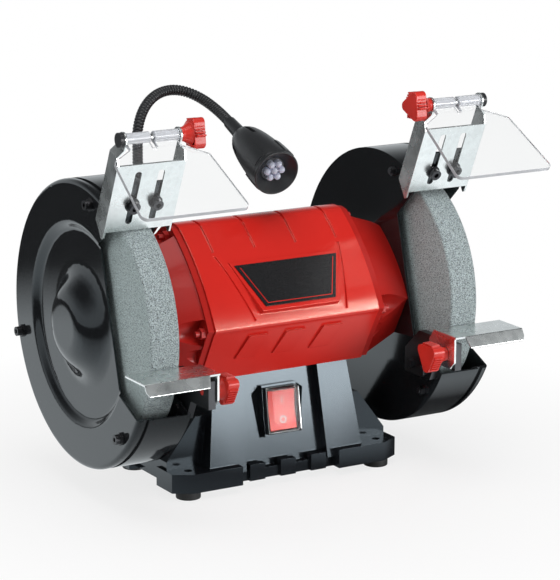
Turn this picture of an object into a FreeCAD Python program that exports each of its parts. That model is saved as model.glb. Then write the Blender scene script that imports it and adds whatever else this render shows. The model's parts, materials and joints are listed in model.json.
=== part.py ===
# Double-ended bench grinder with eye shields, tool rests and a gooseneck work lamp.
# Millimetres. X runs along the shaft, front is -Y, Z is up.
# The origin is on the bench, midway between the four bench bolts under the shaft.
import FreeCAD, Part
import math
import os

V = FreeCAD.Vector

# Running gear
SHAFT_Z = 140.0
GUARD_R = 114.5
WHEEL_ROOM = 14.5
WHEEL_R = GUARD_R - WHEEL_ROOM
WHEEL_W = 25.0
WHEEL_BORE_R = 16.0
WHEEL_X = 136.3
WHEEL_CHAMFER = 1.2
FLANGE_R = 38.0
FLANGE_T = 5.0
FLANGE_RELIEF = 1.5
FLANGE_BEVEL = 6.0
SPIGOT_L = 10.0
SPINDLE_R = 8.0
SHAFT_R = 10.0
SHAFT_CORE_R = 12.0
NUT_T = 8.0
NUT_ACROSS = 24.0
SPINDLE_STUB = 2.5
BEARING_R = 23.5
BEARING_W = 14.0
BEARING_X = 86.0
RACE_T = 3.6
BALL_COUNT = 8
STATOR_R = 45.0
STATOR_HALF = 30.0
ROTOR_R = 26.0
AIR_GAP = 0.5
WINDING_L = 20.0
COIL_IN = 5.0
COIL_OUT = 4.0
COIL_ROUND = 4.5
FIT = 0.05
GAP = 0.3

# Motor shell, a square on its corner with bulged facets
MOTOR_HALF = 75.5
MOTOR_TOP = 72.0
MOTOR_TOP_HALF = 9.0
MOTOR_TOP_DROP = 1.7
CREASE_Y = 69.0
CREASE_Z = -2.0
CREASE_LIP = 4.0
CREASE_ROUND = 3.0
FACET_BULGE = 6.0
LIP_STEP = 1.0
SEAT_HALF = 42.0
SEAT_DROP = 48.0
GROOVE_X = (-57.0, -19.0, 19.0, 57.0)
GROOVE_W = 2.2
GROOVE_DEPTH = 1.6
GROOVE_TURN = 62.0
GROOVE_DROP = 36.0
GROOVE_FOOT = 5.0
GROOVE_FOOT_X = 42.0
BADGE_TOP_HALF = 47.0
BADGE_LOW_HALF = 32.0
BADGE_X = 3.0
BADGE_LOW = 13.0
BADGE_HIGH = 51.0
BADGE_T = 1.0
PANEL_BORDER = 3.5
PANEL_RISE = 1.2
PAD_X = (-34.0, 0.0, 34.0)
PAD_W = 18.0
PAD_SKEW = 7.0
PAD_RISE = 1.5
PAD_ROOT = 4.0
PAD_HIGH = 8.0
PAD_LOW = 28.0

# End bells and the bolts that hold them
BELL_FLANGE_T = 5.5
BELL_FLANGE_SCALE = 0.975
BELL_ROOT_SCALE = 0.95
BELL_TIP_SCALE = 0.72
BELL_POCKET_R = 11.5
POCKET_OUT = 1.04
LOW_POCKETS = ((-56.0, -27.0), (56.0, -27.0))
LOW_POCKET_R = 9.0
BELL_LIP = 3.0
TIE_BOLTS = ((0.0, 62.0), (-59.5, -4.0), (59.5, -4.0))
TIE_R = 2.25
TIE_NUT_ACROSS = 8.0
TIE_NUT_T = 4.0
TIE_STUB = 4.0

# Wheel guards
SHEET = 1.5
GUARD_PLATE_X = 115.0
GUARD_PLATE_T = 2.0
GUARD_RIM_X = 151.0
COVER_EDGE_X = 155.0
COVER_FACE_X = 161.0
COVER_LIP_L = 9.0
COVER_EDGE_ROUND = 4.0
STEP_IN = 31.5
STEP_R = GUARD_R - STEP_IN
STEP_W = 10.0
STEP_DEPTH = 5.0
DOME_R = 52.0
DOME_TOP_R = 16.0
DOME_HEIGHT = 17.0
OPENING_TOP = (-0.2795 * GUARD_R, 0.5764 * GUARD_R)
OPENING_LOW = (-0.5328 * GUARD_R, -0.3406 * GUARD_R)
OPENING_NOTCH = (-0.6288 * GUARD_R, -0.3581 * GUARD_R)
OPENING_RIM = (-0.8908 * GUARD_R, -0.4760 * GUARD_R)
OPENING_FALL = -0.7598 * GUARD_R
COVER_BOLT_IN = 10.5
COVER_BOLT_R = GUARD_R - COVER_BOLT_IN
COVER_BOLT_ANGLES = (-15.0, 105.0, 225.0)
COVER_SCREW_R = 2.2
COVER_COLLAR_ACROSS = 9.0
COVER_COLLAR_T = 2.0
COVER_HEAD_R = 3.8
COVER_HEAD_L = 4.0
COVER_KEY_ACROSS = 3.4
COVER_KEY_L = 2.5
COVER_NUT_ACROSS = 7.0
COVER_NUT_T = 3.5
SCREW_STUB = 1.5
SHAFT_ROOM = 2.0
GUARD_SCREW_R = 2.4
GUARD_HEAD_R = 4.3
GUARD_SCREW_PCD_R = 33.0
GUARD_SCREW_ANGLES = (30.0, 150.0, 270.0)
GUARD_SCREW_L = 12.0

# Spark guards: folded channels on the upper end of each guard
SPARK_Y = -0.4943 * GUARD_R
SPARK_Z = SHAFT_Z + 0.7345 * GUARD_R
SPARK_LEAN = 24.0
SPARK_W = 58.0
SPARK_H = 58.5
SPARK_DEPTH = 16.0
SPARK_TIP = 7.0
SPARK_RIGHT_SET = 5.0
SPARK_WAIST = 65.0
SPARK_HEEL = 3.0
SPARK_NOSE = 2.0
SPARK_NECK = 4.0
SLOT_X = 9.8
SLOT_LOW = 6.0
SLOT_HIGH = 52.0
SLOT_W = 5.5
SPARK_SCREW_S = 23.0
SPARK_SCREW_R = 2.5
LUG_HALF = 18.5
LUG_LOW = 4.0
LUG_HIGH = 40.0
LUG_T = 2.0
WASHER_R = 5.5
WASHER_T = 1.0
HEAD_R = 4.4
HEAD_L = 4.5
SOCKET_ACROSS = 4.0
SOCKET_L = 2.7
SPARK_SCREW_STUB = 2.0

# Eye shields
HINGE_N = 10.0
HINGE_S = 77.0
EAR_HALF = 22.5
EAR_R = 6.0
PIN_R = 2.5
BARREL_R = 4.6
BARREL_GAP = 4.0
SHIELD_TILT = 31.0
SHIELD_T = 3.0
SHIELD_DROP = 1.1
SHIELD_NECK = 10.0
SHIELD_SHOULDER = 22.0
SHIELD_SHOULDER_HALF = 40.0
SHIELD_LENGTH = 85.0
SHIELD_LOW_HALF = 45.0
SHIELD_CORNER = 5.0
SHIELD_SET = 1.0
CAP_R = 5.6
CAP_L = 3.5
CAP_END = 1.0
PIN_END = 1.5

# Clamping knobs
KNOB_HUB_R = 5.5
KNOB_HUB_L = 8.0
KNOB_L = 10.0
KNOB_R = 13.0
KNOB_TIP_R = 4.2
KNOB_FLARE_R = 8.5
KNOB_FLARE_L = 5.0
KNOB_SWING = 60.0
KNOB_CORNER = 90.0

# Tool rests and their arms
REST_TOP_Z = 124.5
REST_T = 2.0
REST_GAP = 0.3
REST_DEPTH = 31.7
REST_BACK_Y = -WHEEL_R - REST_GAP
REST_FOLD_Y = REST_BACK_Y - REST_DEPTH
REST_LIP = 10.0
REST_LIP_DROP = 60.0
LIP_SET = 9.0
LIP_SLANT = 3.0
REST_OUT_X = 171.0
FLANGE_X = 106.6
FLANGE_LOW_Z = 97.0
FLANGE_HIGH_Z = 116.0
FLANGE_CUT = 6.0
FLANGE_MARGIN = 5.0
REST_SLOT_Z = 108.0
REST_SLOT_W = 6.6
REST_SLOT_L = 15.0
REST_SCREW_IN = 16.7
REST_SCREW_Y = REST_BACK_Y - REST_SCREW_IN
REST_SCREW_R = 3.0
ARM_FRONT_IN = 4.0
ARM_FRONT_Y = REST_FOLD_Y + ARM_FRONT_IN
ARM_LOW_Z = 96.0
ARM_HIGH_Z = 118.0
ARM_BACK_Y = -0.4891 * GUARD_R
ARM_ROOT_Z = SHAFT_Z - 0.5240 * GUARD_R
ARM_TONGUE = ((-0.6638 * GUARD_R, ARM_HIGH_Z), (ARM_BACK_Y, SHAFT_Z - 0.3493 * GUARD_R),
              (ARM_BACK_Y, ARM_ROOT_Z), (-0.8035 * GUARD_R, ARM_ROOT_Z), (-0.8734 * GUARD_R, ARM_LOW_Z))
ARM_BOLTS = ((-0.5764 * GUARD_R, SHAFT_Z - 0.4454 * GUARD_R), (-0.7336 * GUARD_R, SHAFT_Z - 0.4716 * GUARD_R))
ARM_BOLT_R = 2.5
ARM_HEAD_ACROSS = 8.0
ARM_HEAD_T = 3.5
ARM_TAIL_T = 2.5

# Base
BASE_Z = 6.5
BASE_HALF_X = 104.5
BASE_HALF_Y = 58.5
PAD_INNER_X = 45.0
PAD_INNER_Y = 23.5
PAD_TOP_Z = 22.0
PAD_CHAMFER_X = 16.0
PAD_CHAMFER_Y = 9.0
BASE_STEP = 9.0
PLATE_TOP_Z = 15.0
COLUMN_LOW_X = 72.0
COLUMN_IN_Y = 6.5
COLUMN_LOW_Y = BASE_HALF_Y - COLUMN_IN_Y
COLUMN_TOP_X = 62.0
COLUMN_TAPER_Y = 12.0
COLUMN_TOP_Y = COLUMN_LOW_Y - COLUMN_TAPER_Y
PANEL_DEPTH = 9.0
PANEL_TOP_X = 34.0
PANEL_LOW_X = 38.0
WING_X = 102.0
WING_LIP = 6.0
WING_HIGH_Z = 62.0
WING_HIGH_X = 76.0
WING_HALF_Y = 36.0
WALL = 4.0
ROOF = 8.0
BLOCK_X = (-28.0, 0.5, 29.0)
BLOCK_W = 14.0
BLOCK_IN = 6.0
BLOCK_Y = BASE_HALF_Y - BLOCK_IN
BLOCK_TOP_Z = 20.0
BLOCK_L = 7.0
FOOT_IN_X = 16.5
FOOT_IN_Y = 12.5
FOOT_X = BASE_HALF_X - FOOT_IN_X
FOOT_Y = BASE_HALF_Y - FOOT_IN_Y
FOOT_R = 10.0
FOOT_SPIGOT_R = 6.0
FOOT_SPIGOT_H = 4.0
BENCH_HOLE_R = 3.25
FLOOR_T = 1.5
FLOOR_LEDGE = 5.0
FLOOR_SCREW_R = 1.8
FLOOR_HEAD_T = 1.2
FLOOR_HOLE_END = 2.0
FLOOR_SCREW_END = 2.5

# Switch
SWITCH_Z = 58.5
SWITCH_W = 28.0
SWITCH_H = 38.0
SWITCH_DEPTH = 16.0
SWITCH_RISE = 3.0
SWITCH_LEDGE = 1.0
SWITCH_FLOOR = 4.0
ROCKER_W = 24.0
ROCKER_H = 32.8
ROCKER_PIN_R = 1.5
ROCKER_ROOM = 0.5
ROCKER_SWING = 0.4
ROCKER_PIN_Y = 1.0
ROCKER_PIN_END = 0.3
ROCKER_PIN_ROOM = 0.5
ROCKER_EDGE = 3.6
ROCKER_MID = 2.2
ROCKER_HEEL = (2.0, 1.5)
ROCKER_KEEL = 6.0
COVER_WALL = 1.2
COVER_DOME = 7.0
COVER_TAPER = 1.0
PLINTH_RISE = 4.0
PLINTH_MARGIN = 2.0
POCKET_W = 8.0
POCKET_DEPTH = 5.0
POCKET_SLANT = 6.0
POCKET_FOOT = 3.2

# Inside the base
CAPACITOR_R = 14.0
CAPACITOR_L = 56.0
GLAND_X = 44.0
GLAND_Z = 40.0
GLAND_R = 7.0
GLAND_BORE_R = 3.6
GLAND_BOSS_R = 12.0
GLAND_BOSS_IN = 5.5
GLAND_BOSS_Y = BASE_HALF_Y - GLAND_BOSS_IN
GLAND_NUT_L = 9.0
GLAND_NUT_R = 11.0
GLAND_TUBE_L = 16.0

# Work lamp
LAMP_RIM_X = 2.0
LAMP_RIM_Y = -30.0
LAMP_RIM_Z = 249.5
LAMP_RIM = V(LAMP_RIM_X, LAMP_RIM_Y, LAMP_RIM_Z)
LAMP_AXIS = V(-0.05, -0.95, -0.32)
LAMP_BELL_L = 64.0
LAMP_FERRULE_L = 25.0
LAMP_FERRULE_R = 6.0
LAMP_NECK_R = 5.0
LAMP_RIM_R = 19.0
LAMP_SHELL = 1.6
LAMP_CUP_L = 9.5
LAMP_BODY = ((9.5, 0.5), (13.2, 9.0), (16.0, 22.0), (18.0, 38.0))
LAMP_BAND_L = 14.0
LED_COUNT = 6
LED_R = 2.9
LED_RING_R = 6.4
LED_H = 2.9
BOARD_R = 10.0
BOARD_T = 1.6
NECK_R = 4.4
NECK_ROOT_R = 3.7
NECK_BORE_R = 2.5
NECK_PITCH = 2.6
NECK_X = -62.0
NECK_Y = 86.0
NECK_LOW_Z = 118.0
NECK_BEND_Z = 262.0
NECK_RISE = 48.0
NECK_REACH = 94.0
NECK_UPPER_L = 70.0
SOCKET_LOW_Z = 106.0
SOCKET_HIGH_Z = 146.0
SOCKET_HALF = 11.0
SOCKET_FRONT_Y = 52.0

parts = {}


# Shape helpers
def box(x0, x1, y0, y1, z0, z1):
    return Part.makeBox(x1 - x0, y1 - y0, z1 - z0, V(x0, y0, z0))


def rod(r, x0, x1, y=0.0, z=SHAFT_Z):
    return Part.makeCylinder(r, x1 - x0, V(x0, y, z), V(1, 0, 0))


def post(r, x, y, z0, z1):
    return Part.makeCylinder(r, z1 - z0, V(x, y, z0), V(0, 0, 1))


def rod_y(r, x, y0, y1, z):
    return Part.makeCylinder(r, y1 - y0, V(x, y0, z), V(0, 1, 0))


def prism(points, along):
    return Part.Face(Part.makePolygon(points + points[:1])).extrude(along)


def prism_x(outline, x0, x1):
    return prism([V(x0, y, z) for y, z in outline], V(x1 - x0, 0, 0))


def prism_y(outline, y0, y1):
    return prism([V(x, y0, z) for x, z in outline], V(0, y1 - y0, 0))


def prism_z(outline, z0, z1):
    return prism([V(x, y, z0) for x, y in outline], V(0, 0, z1 - z0))


def frustum(low_x, low_y, low_z, top_x, top_y, top_z):
    wires = []
    for (x0, x1), (y0, y1), z in ((low_x, low_y, low_z), (top_x, top_y, top_z)):
        corners = [V(x0, y0, z), V(x1, y0, z), V(x1, y1, z), V(x0, y1, z)]
        wires.append(Part.makePolygon(corners + corners[:1]))
    return Part.makeLoft(wires, True, True)


def hexagon(across, x0, x1, y, z):
    r = across / math.sqrt(3.0)
    turns = [math.radians(60 * i + 30) for i in range(6)]
    return prism_x([(y + r * math.cos(a), z + r * math.sin(a)) for a in turns], x0, x1)


def turned(outline):
    points = [V(x, 0, SHAFT_Z + r) for x, r in outline]
    face = Part.Face(Part.makePolygon(points + points[:1]))
    return face.revolve(V(0, 0, SHAFT_Z), V(1, 0, 0), 360)


def mirrored(shape):
    return shape.mirror(V(0, 0, 0), V(1, 0, 0))


def pair(name, shape):
    parts["right_" + name] = shape
    parts["left_" + name] = mirrored(shape)


def group(shapes):
    return Part.makeCompound(shapes)


def fused(shapes):
    return shapes[0].multiFuse(shapes[1:]).removeSplitter()


def on_circle(r, degrees):
    a = math.radians(degrees)
    return r * math.cos(a), SHAFT_Z + r * math.sin(a)


# The motor's outline at x, scaled about the shaft
def motor_wire(x, scale=1.0):
    def at(y, z):
        return V(x, y * scale, SHAFT_Z + z * scale)

    shoulder = MOTOR_TOP - MOTOR_TOP_DROP
    run_y = CREASE_Y - MOTOR_TOP_HALF
    run_z = shoulder - CREASE_Z
    run = math.hypot(run_y, run_z)
    mid_y = (CREASE_Y + MOTOR_TOP_HALF) / 2 + FACET_BULGE * run_z / run
    mid_z = (CREASE_Z + shoulder) / 2 + FACET_BULGE * run_y / run
    lip_y = CREASE_Y - CREASE_LIP * (CREASE_Y - SEAT_HALF) / (SEAT_DROP + CREASE_Z)
    front, back = at(-CREASE_Y, CREASE_Z), at(CREASE_Y, CREASE_Z)
    front_top, back_top = at(-MOTOR_TOP_HALF, shoulder), at(MOTOR_TOP_HALF, shoulder)
    edges = [
        Part.Arc(front, at(-mid_y, mid_z), front_top).toShape(),
        Part.Arc(front_top, at(0, MOTOR_TOP), back_top).toShape(),
        Part.Arc(back_top, at(mid_y, mid_z), back).toShape(),
    ]
    low = [back, at(lip_y - LIP_STEP, CREASE_Z - CREASE_LIP), at(SEAT_HALF, -SEAT_DROP)]
    low += [at(-SEAT_HALF, -SEAT_DROP), at(LIP_STEP - lip_y, CREASE_Z - CREASE_LIP), front]
    edges += [Part.makeLine(a, b) for a, b in zip(low, low[1:])]
    return Part.Wire(edges)


def motor_prism(x0, x1, scale=1.0):
    return Part.Face(motor_wire(x0, scale)).extrude(V(x1 - x0, 0, 0))


# A point on the badge facet: x, up the facet from the crease, out of the facet
FACET_RUN = V(0, CREASE_Y - MOTOR_TOP_HALF, MOTOR_TOP - MOTOR_TOP_DROP - CREASE_Z).normalize()
FACET_OUT = V(0, -FACET_RUN.z, FACET_RUN.y)


def facet_point(x, up, out):
    return V(x, -CREASE_Y, SHAFT_Z + CREASE_Z) + FACET_RUN * up + FACET_OUT * out


def facet_slab(border, out, thick):
    low, high = BADGE_LOW - border, BADGE_HIGH + border
    low_half, high_half = BADGE_LOW_HALF + border, BADGE_TOP_HALF + border
    spread = ((-low_half, low), (low_half, low), (high_half, high), (-high_half, high))
    return prism([facet_point(BADGE_X + x, up, out) for x, up in spread], FACET_OUT * thick)


def motor():
    shell = motor_prism(-MOTOR_HALF, MOTOR_HALF)
    creases = [e for e in shell.Edges if abs(abs(e.CenterOfMass.y) - CREASE_Y) < FIT
               and abs(e.CenterOfMass.x) < FIT]
    shell = shell.makeFillet(CREASE_ROUND, creases)
    panel_out = FACET_BULGE + PANEL_RISE
    panel = facet_slab(PANEL_BORDER, 0.0, panel_out)
    pads = []
    slope_y = (CREASE_Y - SEAT_HALF) / (SEAT_DROP + CREASE_Z)
    for x in PAD_X:
        corners = []
        spread = ((-1, 0.0, PAD_HIGH), (1, 0.0, PAD_HIGH), (1, PAD_SKEW, PAD_LOW), (-1, PAD_SKEW, PAD_LOW))
        for across, skew, drop in spread:
            y = slope_y * drop - CREASE_Y + PAD_ROOT
            corners.append(V(x + across * PAD_W / 2 - skew, y, SHAFT_Z + CREASE_Z - drop))
        pads.append(prism(corners, V(0, -PAD_ROOT - PAD_RISE, 0)))
    shell = fused([shell, panel] + pads)
    shell = shell.cut(rod(STATOR_R + FIT, -MOTOR_HALF, MOTOR_HALF))
    inset = 1.0 - GROOVE_DEPTH / CREASE_Y
    layer = motor_prism(-MOTOR_HALF, MOTOR_HALF, 2.0 - inset)
    layer = layer.cut(motor_prism(-MOTOR_HALF, MOTOR_HALF, inset))
    turn = facet_point(0, GROOVE_TURN, 0)
    half = GROOVE_W / 2
    for x in GROOVE_X:
        over = box(x - half, x + half, turn.y - half, CREASE_Y, turn.z - GROOVE_DROP, SHAFT_Z + 2 * MOTOR_TOP)
        shell = shell.cut(layer.common(over))
    for x, foot in zip((GROOVE_X[0], GROOVE_X[-1]), (-GROOVE_FOOT_X, GROOVE_FOOT_X)):
        low = BADGE_X + foot
        run = ((x - half, GROOVE_TURN), (x + half, GROOVE_TURN),
               (low + half, GROOVE_FOOT), (low - half, GROOVE_FOOT))
        reach = FACET_OUT * 2 * (FACET_BULGE + GROOVE_DEPTH)
        slant = prism([facet_point(a, up, -GROOVE_DEPTH) for a, up in run], reach)
        shell = shell.cut(layer.common(slant))
    for y, z in TIE_BOLTS:
        shell = shell.cut(rod(TIE_R + FIT, -MOTOR_HALF, MOTOR_HALF, y, SHAFT_Z + z))
    parts["motor_housing"] = shell
    parts["badge_plate"] = facet_slab(0.0, panel_out, BADGE_T)

    core = rod(STATOR_R, -STATOR_HALF, STATOR_HALF)
    parts["stator_core"] = core.cut(rod(ROTOR_R + AIR_GAP, -STATOR_HALF, STATOR_HALF))
    coil_low, coil_high = ROTOR_R + COIL_IN, STATOR_R - COIL_OUT
    end = STATOR_HALF + WINDING_L
    c = COIL_ROUND
    coil = turned([(STATOR_HALF, coil_low), (end - c, coil_low), (end, coil_low + c),
                   (end, coil_high - c), (end - c, coil_high), (STATOR_HALF, coil_high)])
    parts["stator_windings"] = group([coil, mirrored(coil)])

    bell_end = GUARD_PLATE_X
    flange_end = MOTOR_HALF + BELL_FLANGE_T
    flange = motor_prism(MOTOR_HALF, flange_end, BELL_FLANGE_SCALE)
    ends = [motor_wire(flange_end, BELL_ROOT_SCALE), motor_wire(bell_end, BELL_TIP_SCALE)]
    bell = fused([flange, Part.makeLoft(ends, True, True)])
    for y, z in TIE_BOLTS:
        bell = bell.cut(rod(BELL_POCKET_R, flange_end, bell_end, y * POCKET_OUT, SHAFT_Z + z * POCKET_OUT))
        bell = bell.cut(rod(TIE_R + FIT, MOTOR_HALF, flange_end, y, SHAFT_Z + z))
    for y, z in LOW_POCKETS:
        bell = bell.cut(rod(LOW_POCKET_R, flange_end, bell_end, y, SHAFT_Z + z))
    bell = bell.cut(rod(STATOR_R - BELL_LIP, MOTOR_HALF, flange_end))
    bell = bell.cut(rod(BEARING_R - RACE_T, MOTOR_HALF, BEARING_X))
    bell = bell.cut(rod(BEARING_R + FIT, BEARING_X, bell_end))
    for angle in GUARD_SCREW_ANGLES:
        y, z = on_circle(GUARD_SCREW_PCD_R, angle)
        bell = bell.cut(rod(GUARD_SCREW_R + FIT, bell_end - GUARD_SCREW_L, bell_end, y, z))
    pair("end_bell", bell)

    stud_end = flange_end + TIE_NUT_T + TIE_STUB
    studs, nuts = [], []
    for y, z in TIE_BOLTS:
        studs.append(rod(TIE_R, -stud_end, stud_end, y, SHAFT_Z + z))
        nut = hexagon(TIE_NUT_ACROSS, flange_end, flange_end + TIE_NUT_T, y, SHAFT_Z + z)
        nut = nut.cut(rod(TIE_R + FIT, flange_end, flange_end + TIE_NUT_T, y, SHAFT_Z + z))
        nuts += [nut, mirrored(nut)]
    parts["tie_bolts"] = group(studs)
    parts["tie_nuts"] = group(nuts)


def rotor():
    wheel_in = WHEEL_X - WHEEL_W / 2
    wheel_out = WHEEL_X + WHEEL_W / 2
    seat = wheel_in - FLANGE_T
    nut_in = wheel_out + FLANGE_T
    tip = nut_in + NUT_T + SPINDLE_STUB
    half = [(0, 0), (tip, 0), (tip, SPINDLE_R), (seat, SPINDLE_R), (seat, SHAFT_R), (BEARING_X, SHAFT_R),
            (BEARING_X, SHAFT_CORE_R), (0, SHAFT_CORE_R)]
    shaft = turned(half)
    parts["rotor_shaft"] = fused([shaft, mirrored(shaft)])
    core = rod(ROTOR_R, -STATOR_HALF, STATOR_HALF)
    parts["rotor_core"] = core.cut(rod(SHAFT_CORE_R + FIT, -STATOR_HALF, STATOR_HALF))

    c = WHEEL_CHAMFER
    wheel = turned([(wheel_in, WHEEL_BORE_R), (wheel_out, WHEEL_BORE_R), (wheel_out, WHEEL_R - c),
                    (wheel_out - c, WHEEL_R), (wheel_in + c, WHEEL_R), (wheel_in, WHEEL_R - c)])
    pair("grinding_wheel", wheel)

    spigot = SPIGOT_L
    spigot_r = WHEEL_BORE_R - FIT
    bore = SPINDLE_R + FIT
    inner = turned([(seat, bore), (wheel_in + spigot, bore), (wheel_in + spigot, spigot_r),
                    (wheel_in, spigot_r), (wheel_in, FLANGE_R), (seat + FLANGE_RELIEF, FLANGE_R),
                    (seat, FLANGE_R - FLANGE_BEVEL)])
    outer = turned([(wheel_out - spigot, bore), (nut_in, bore), (nut_in, FLANGE_R - FLANGE_BEVEL),
                    (nut_in - FLANGE_RELIEF, FLANGE_R), (wheel_out, FLANGE_R), (wheel_out, spigot_r),
                    (wheel_out - spigot, spigot_r)])
    pair("wheel_flanges", group([inner, outer]))
    nut = hexagon(NUT_ACROSS, nut_in, nut_in + NUT_T, 0, SHAFT_Z).cut(rod(bore, nut_in, nut_in + NUT_T))
    parts["spindle_nuts"] = group([nut, mirrored(nut)])


def bearings():
    x0, x1 = BEARING_X, BEARING_X + BEARING_W
    inner_r = SHAFT_R + RACE_T
    outer_r = BEARING_R - RACE_T
    ball_r = (outer_r - inner_r) / 2 - FIT
    pitch_r = (outer_r + inner_r) / 2
    outer = rod(BEARING_R, x0, x1).cut(rod(outer_r, x0, x1))
    inner = rod(inner_r, x0, x1).cut(rod(SHAFT_R + FIT, x0, x1))
    parts["bearing_outer_races"] = group([outer, mirrored(outer)])
    parts["bearing_inner_races"] = group([inner, mirrored(inner)])
    balls = []
    for i in range(BALL_COUNT):
        y, z = on_circle(pitch_r, 360.0 * i / BALL_COUNT)
        ball = Part.makeSphere(ball_r, V((x0 + x1) / 2, y, z))
        balls += [ball, mirrored(ball)]
    parts["bearing_balls"] = group(balls)


# Spark guard frame: x from the wheel's middle, n back from its plate, s up its plate
def spark_placed(shape, along=0.0):
    shape = shape.copy()
    shape.translate(V(0, 0, along))
    shape.rotate(V(0, 0, 0), V(1, 0, 0), SPARK_LEAN)
    shape.translate(V(WHEEL_X, SPARK_Y, SPARK_Z))
    return shape


def spark_pair(name, shape):
    parts["right_" + name] = spark_placed(shape, SPARK_RIGHT_SET)
    parts["left_" + name] = mirrored(spark_placed(shape))


def guard_opening(x0, x1):
    lean = math.radians(SPARK_LEAN)
    lug_back = SHEET + GAP + LUG_T
    foot_y = SPARK_Y + lug_back * math.cos(lean)
    foot_z = SPARK_Z + lug_back * math.sin(lean) - SHAFT_Z
    reach = 2 * GUARD_R
    top = (foot_y - reach * math.sin(lean), foot_z + reach * math.cos(lean))
    outline = [(foot_y, foot_z), OPENING_TOP, OPENING_LOW, OPENING_NOTCH, OPENING_RIM,
               (-reach, OPENING_FALL), (-reach, top[1]), top]
    return prism_x([(y, SHAFT_Z + z) for y, z in outline], x0, x1)


# The pressed cover's profile, from its rolled edge over the sunk disc to the domed middle
def cover_skin(inset):
    def at(x, r):
        return V(COVER_FACE_X + x - inset, 0, SHAFT_Z + r)

    def blend(*points):
        curve = Part.BSplineCurve()
        curve.interpolate(Points=list(points), InitialTangent=V(0, 0, -1), FinalTangent=V(0, 0, -1))
        return curve.toShape()

    c = COVER_EDGE_ROUND
    edge_mid = c * (1 - math.sqrt(0.5))
    disc_r = STEP_R - STEP_W
    floor = -STEP_DEPTH
    top = floor + DOME_HEIGHT
    mid_r = (DOME_R + DOME_TOP_R) / 2
    flat_r = GUARD_R - c - 2 * inset
    return [
        Part.Arc(at(-c, GUARD_R), at(-edge_mid, GUARD_R - edge_mid), at(0, GUARD_R - c)).toShape(),
        Part.makeLine(at(0, flat_r), at(0, STEP_R)),
        blend(at(0, STEP_R), at(floor / 2, STEP_R - STEP_W / 2), at(floor, disc_r)),
        Part.makeLine(at(floor, disc_r), at(floor, DOME_R)),
        blend(at(floor, DOME_R), at((floor + top) / 2, mid_r), at(top, DOME_TOP_R)),
        Part.makeLine(at(top, DOME_TOP_R), at(top, 0)),
    ]


def guards():
    plate_out = GUARD_PLATE_X + GUARD_PLATE_T
    opening = guard_opening(0.0, 2 * COVER_FACE_X)
    drum = rod(GUARD_R, GUARD_PLATE_X, GUARD_RIM_X)
    drum = drum.cut(rod(GUARD_R - SHEET, plate_out, GUARD_RIM_X))
    drum = drum.cut(rod(SHAFT_R + SHAFT_ROOM, GUARD_PLATE_X, plate_out)).cut(opening)
    lug_n = SHEET + GAP
    lug = box(GUARD_PLATE_X - WHEEL_X, LUG_HALF, lug_n, lug_n + LUG_T, LUG_LOW, LUG_HIGH)
    for x in (-SLOT_X, SLOT_X):
        lug = lug.cut(rod_y(SPARK_SCREW_R + FIT, x, lug_n, lug_n + LUG_T, SPARK_SCREW_S))
    drum = fused([drum, spark_placed(lug)])
    for angle in COVER_BOLT_ANGLES:
        y, z = on_circle(COVER_BOLT_R, angle)
        drum = drum.cut(rod(COVER_SCREW_R + FIT, GUARD_PLATE_X, plate_out, y, z))
    for angle in GUARD_SCREW_ANGLES:
        y, z = on_circle(GUARD_SCREW_PCD_R, angle)
        drum = drum.cut(rod(GUARD_HEAD_R + FIT, GUARD_PLATE_X, plate_out, y, z))
    for y, z in ARM_BOLTS:
        drum = drum.cut(rod(ARM_BOLT_R + FIT, GUARD_PLATE_X, plate_out, y, z))
    pair("inner_guard", drum)

    face = COVER_FACE_X
    lip_r = GUARD_R - SHEET - GAP
    lip_end = COVER_EDGE_X - COVER_LIP_L
    skin = cover_skin(0.0)
    hem = [(COVER_EDGE_X, GUARD_R), (COVER_EDGE_X, lip_r), (lip_end, lip_r), (lip_end, lip_r - SHEET),
           (face - SHEET, lip_r - SHEET)]
    hem_points = [skin[0].Vertexes[0].Point] + [V(x, 0, SHAFT_Z + r) for x, r in hem]
    back = cover_skin(SHEET)[1:]
    hem_points.append(back[0].Vertexes[0].Point)
    hub = [skin[-1].Vertexes[-1].Point, back[-1].Vertexes[-1].Point]
    edges = skin + back + [Part.makeLine(*hub)]
    edges += [Part.makeLine(a, b) for a, b in zip(hem_points, hem_points[1:])]
    profile = Part.Face(Part.Wire(Part.__sortEdges__(edges)))
    cover = profile.revolve(V(0, 0, SHAFT_Z), V(1, 0, 0), 360).cut(opening)
    for angle in COVER_BOLT_ANGLES:
        y, z = on_circle(COVER_BOLT_R, angle)
        cover = cover.cut(rod(COVER_SCREW_R + FIT, face - SHEET, face, y, z))
    pair("outer_cover", cover)

    seat = face + COVER_COLLAR_T
    top = seat + COVER_HEAD_L
    screws = []
    for angle in COVER_BOLT_ANGLES:
        y, z = on_circle(COVER_BOLT_R, angle)
        shank = rod(COVER_SCREW_R, GUARD_PLATE_X - COVER_NUT_T - SCREW_STUB, seat, y, z)
        collar = hexagon(COVER_COLLAR_ACROSS, face, seat, y, z)
        head = rod(COVER_HEAD_R, seat, top, y, z).cut(hexagon(COVER_KEY_ACROSS, top - COVER_KEY_L, top, y, z))
        nut = hexagon(COVER_NUT_ACROSS, GUARD_PLATE_X - COVER_NUT_T, GUARD_PLATE_X, y, z)
        screws.append(fused([shank, collar, head, nut]))
    pair("cover_screws", group(screws))

    mounts = []
    for angle in GUARD_SCREW_ANGLES:
        y, z = on_circle(GUARD_SCREW_PCD_R, angle)
        head = rod(GUARD_HEAD_R, GUARD_PLATE_X, plate_out, y, z)
        shank = rod(GUARD_SCREW_R, GUARD_PLATE_X - GUARD_SCREW_L, plate_out, y, z)
        screw = fused([head, shank])
        mounts += [screw, mirrored(screw)]
    parts["guard_screws"] = group(mounts)


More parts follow.
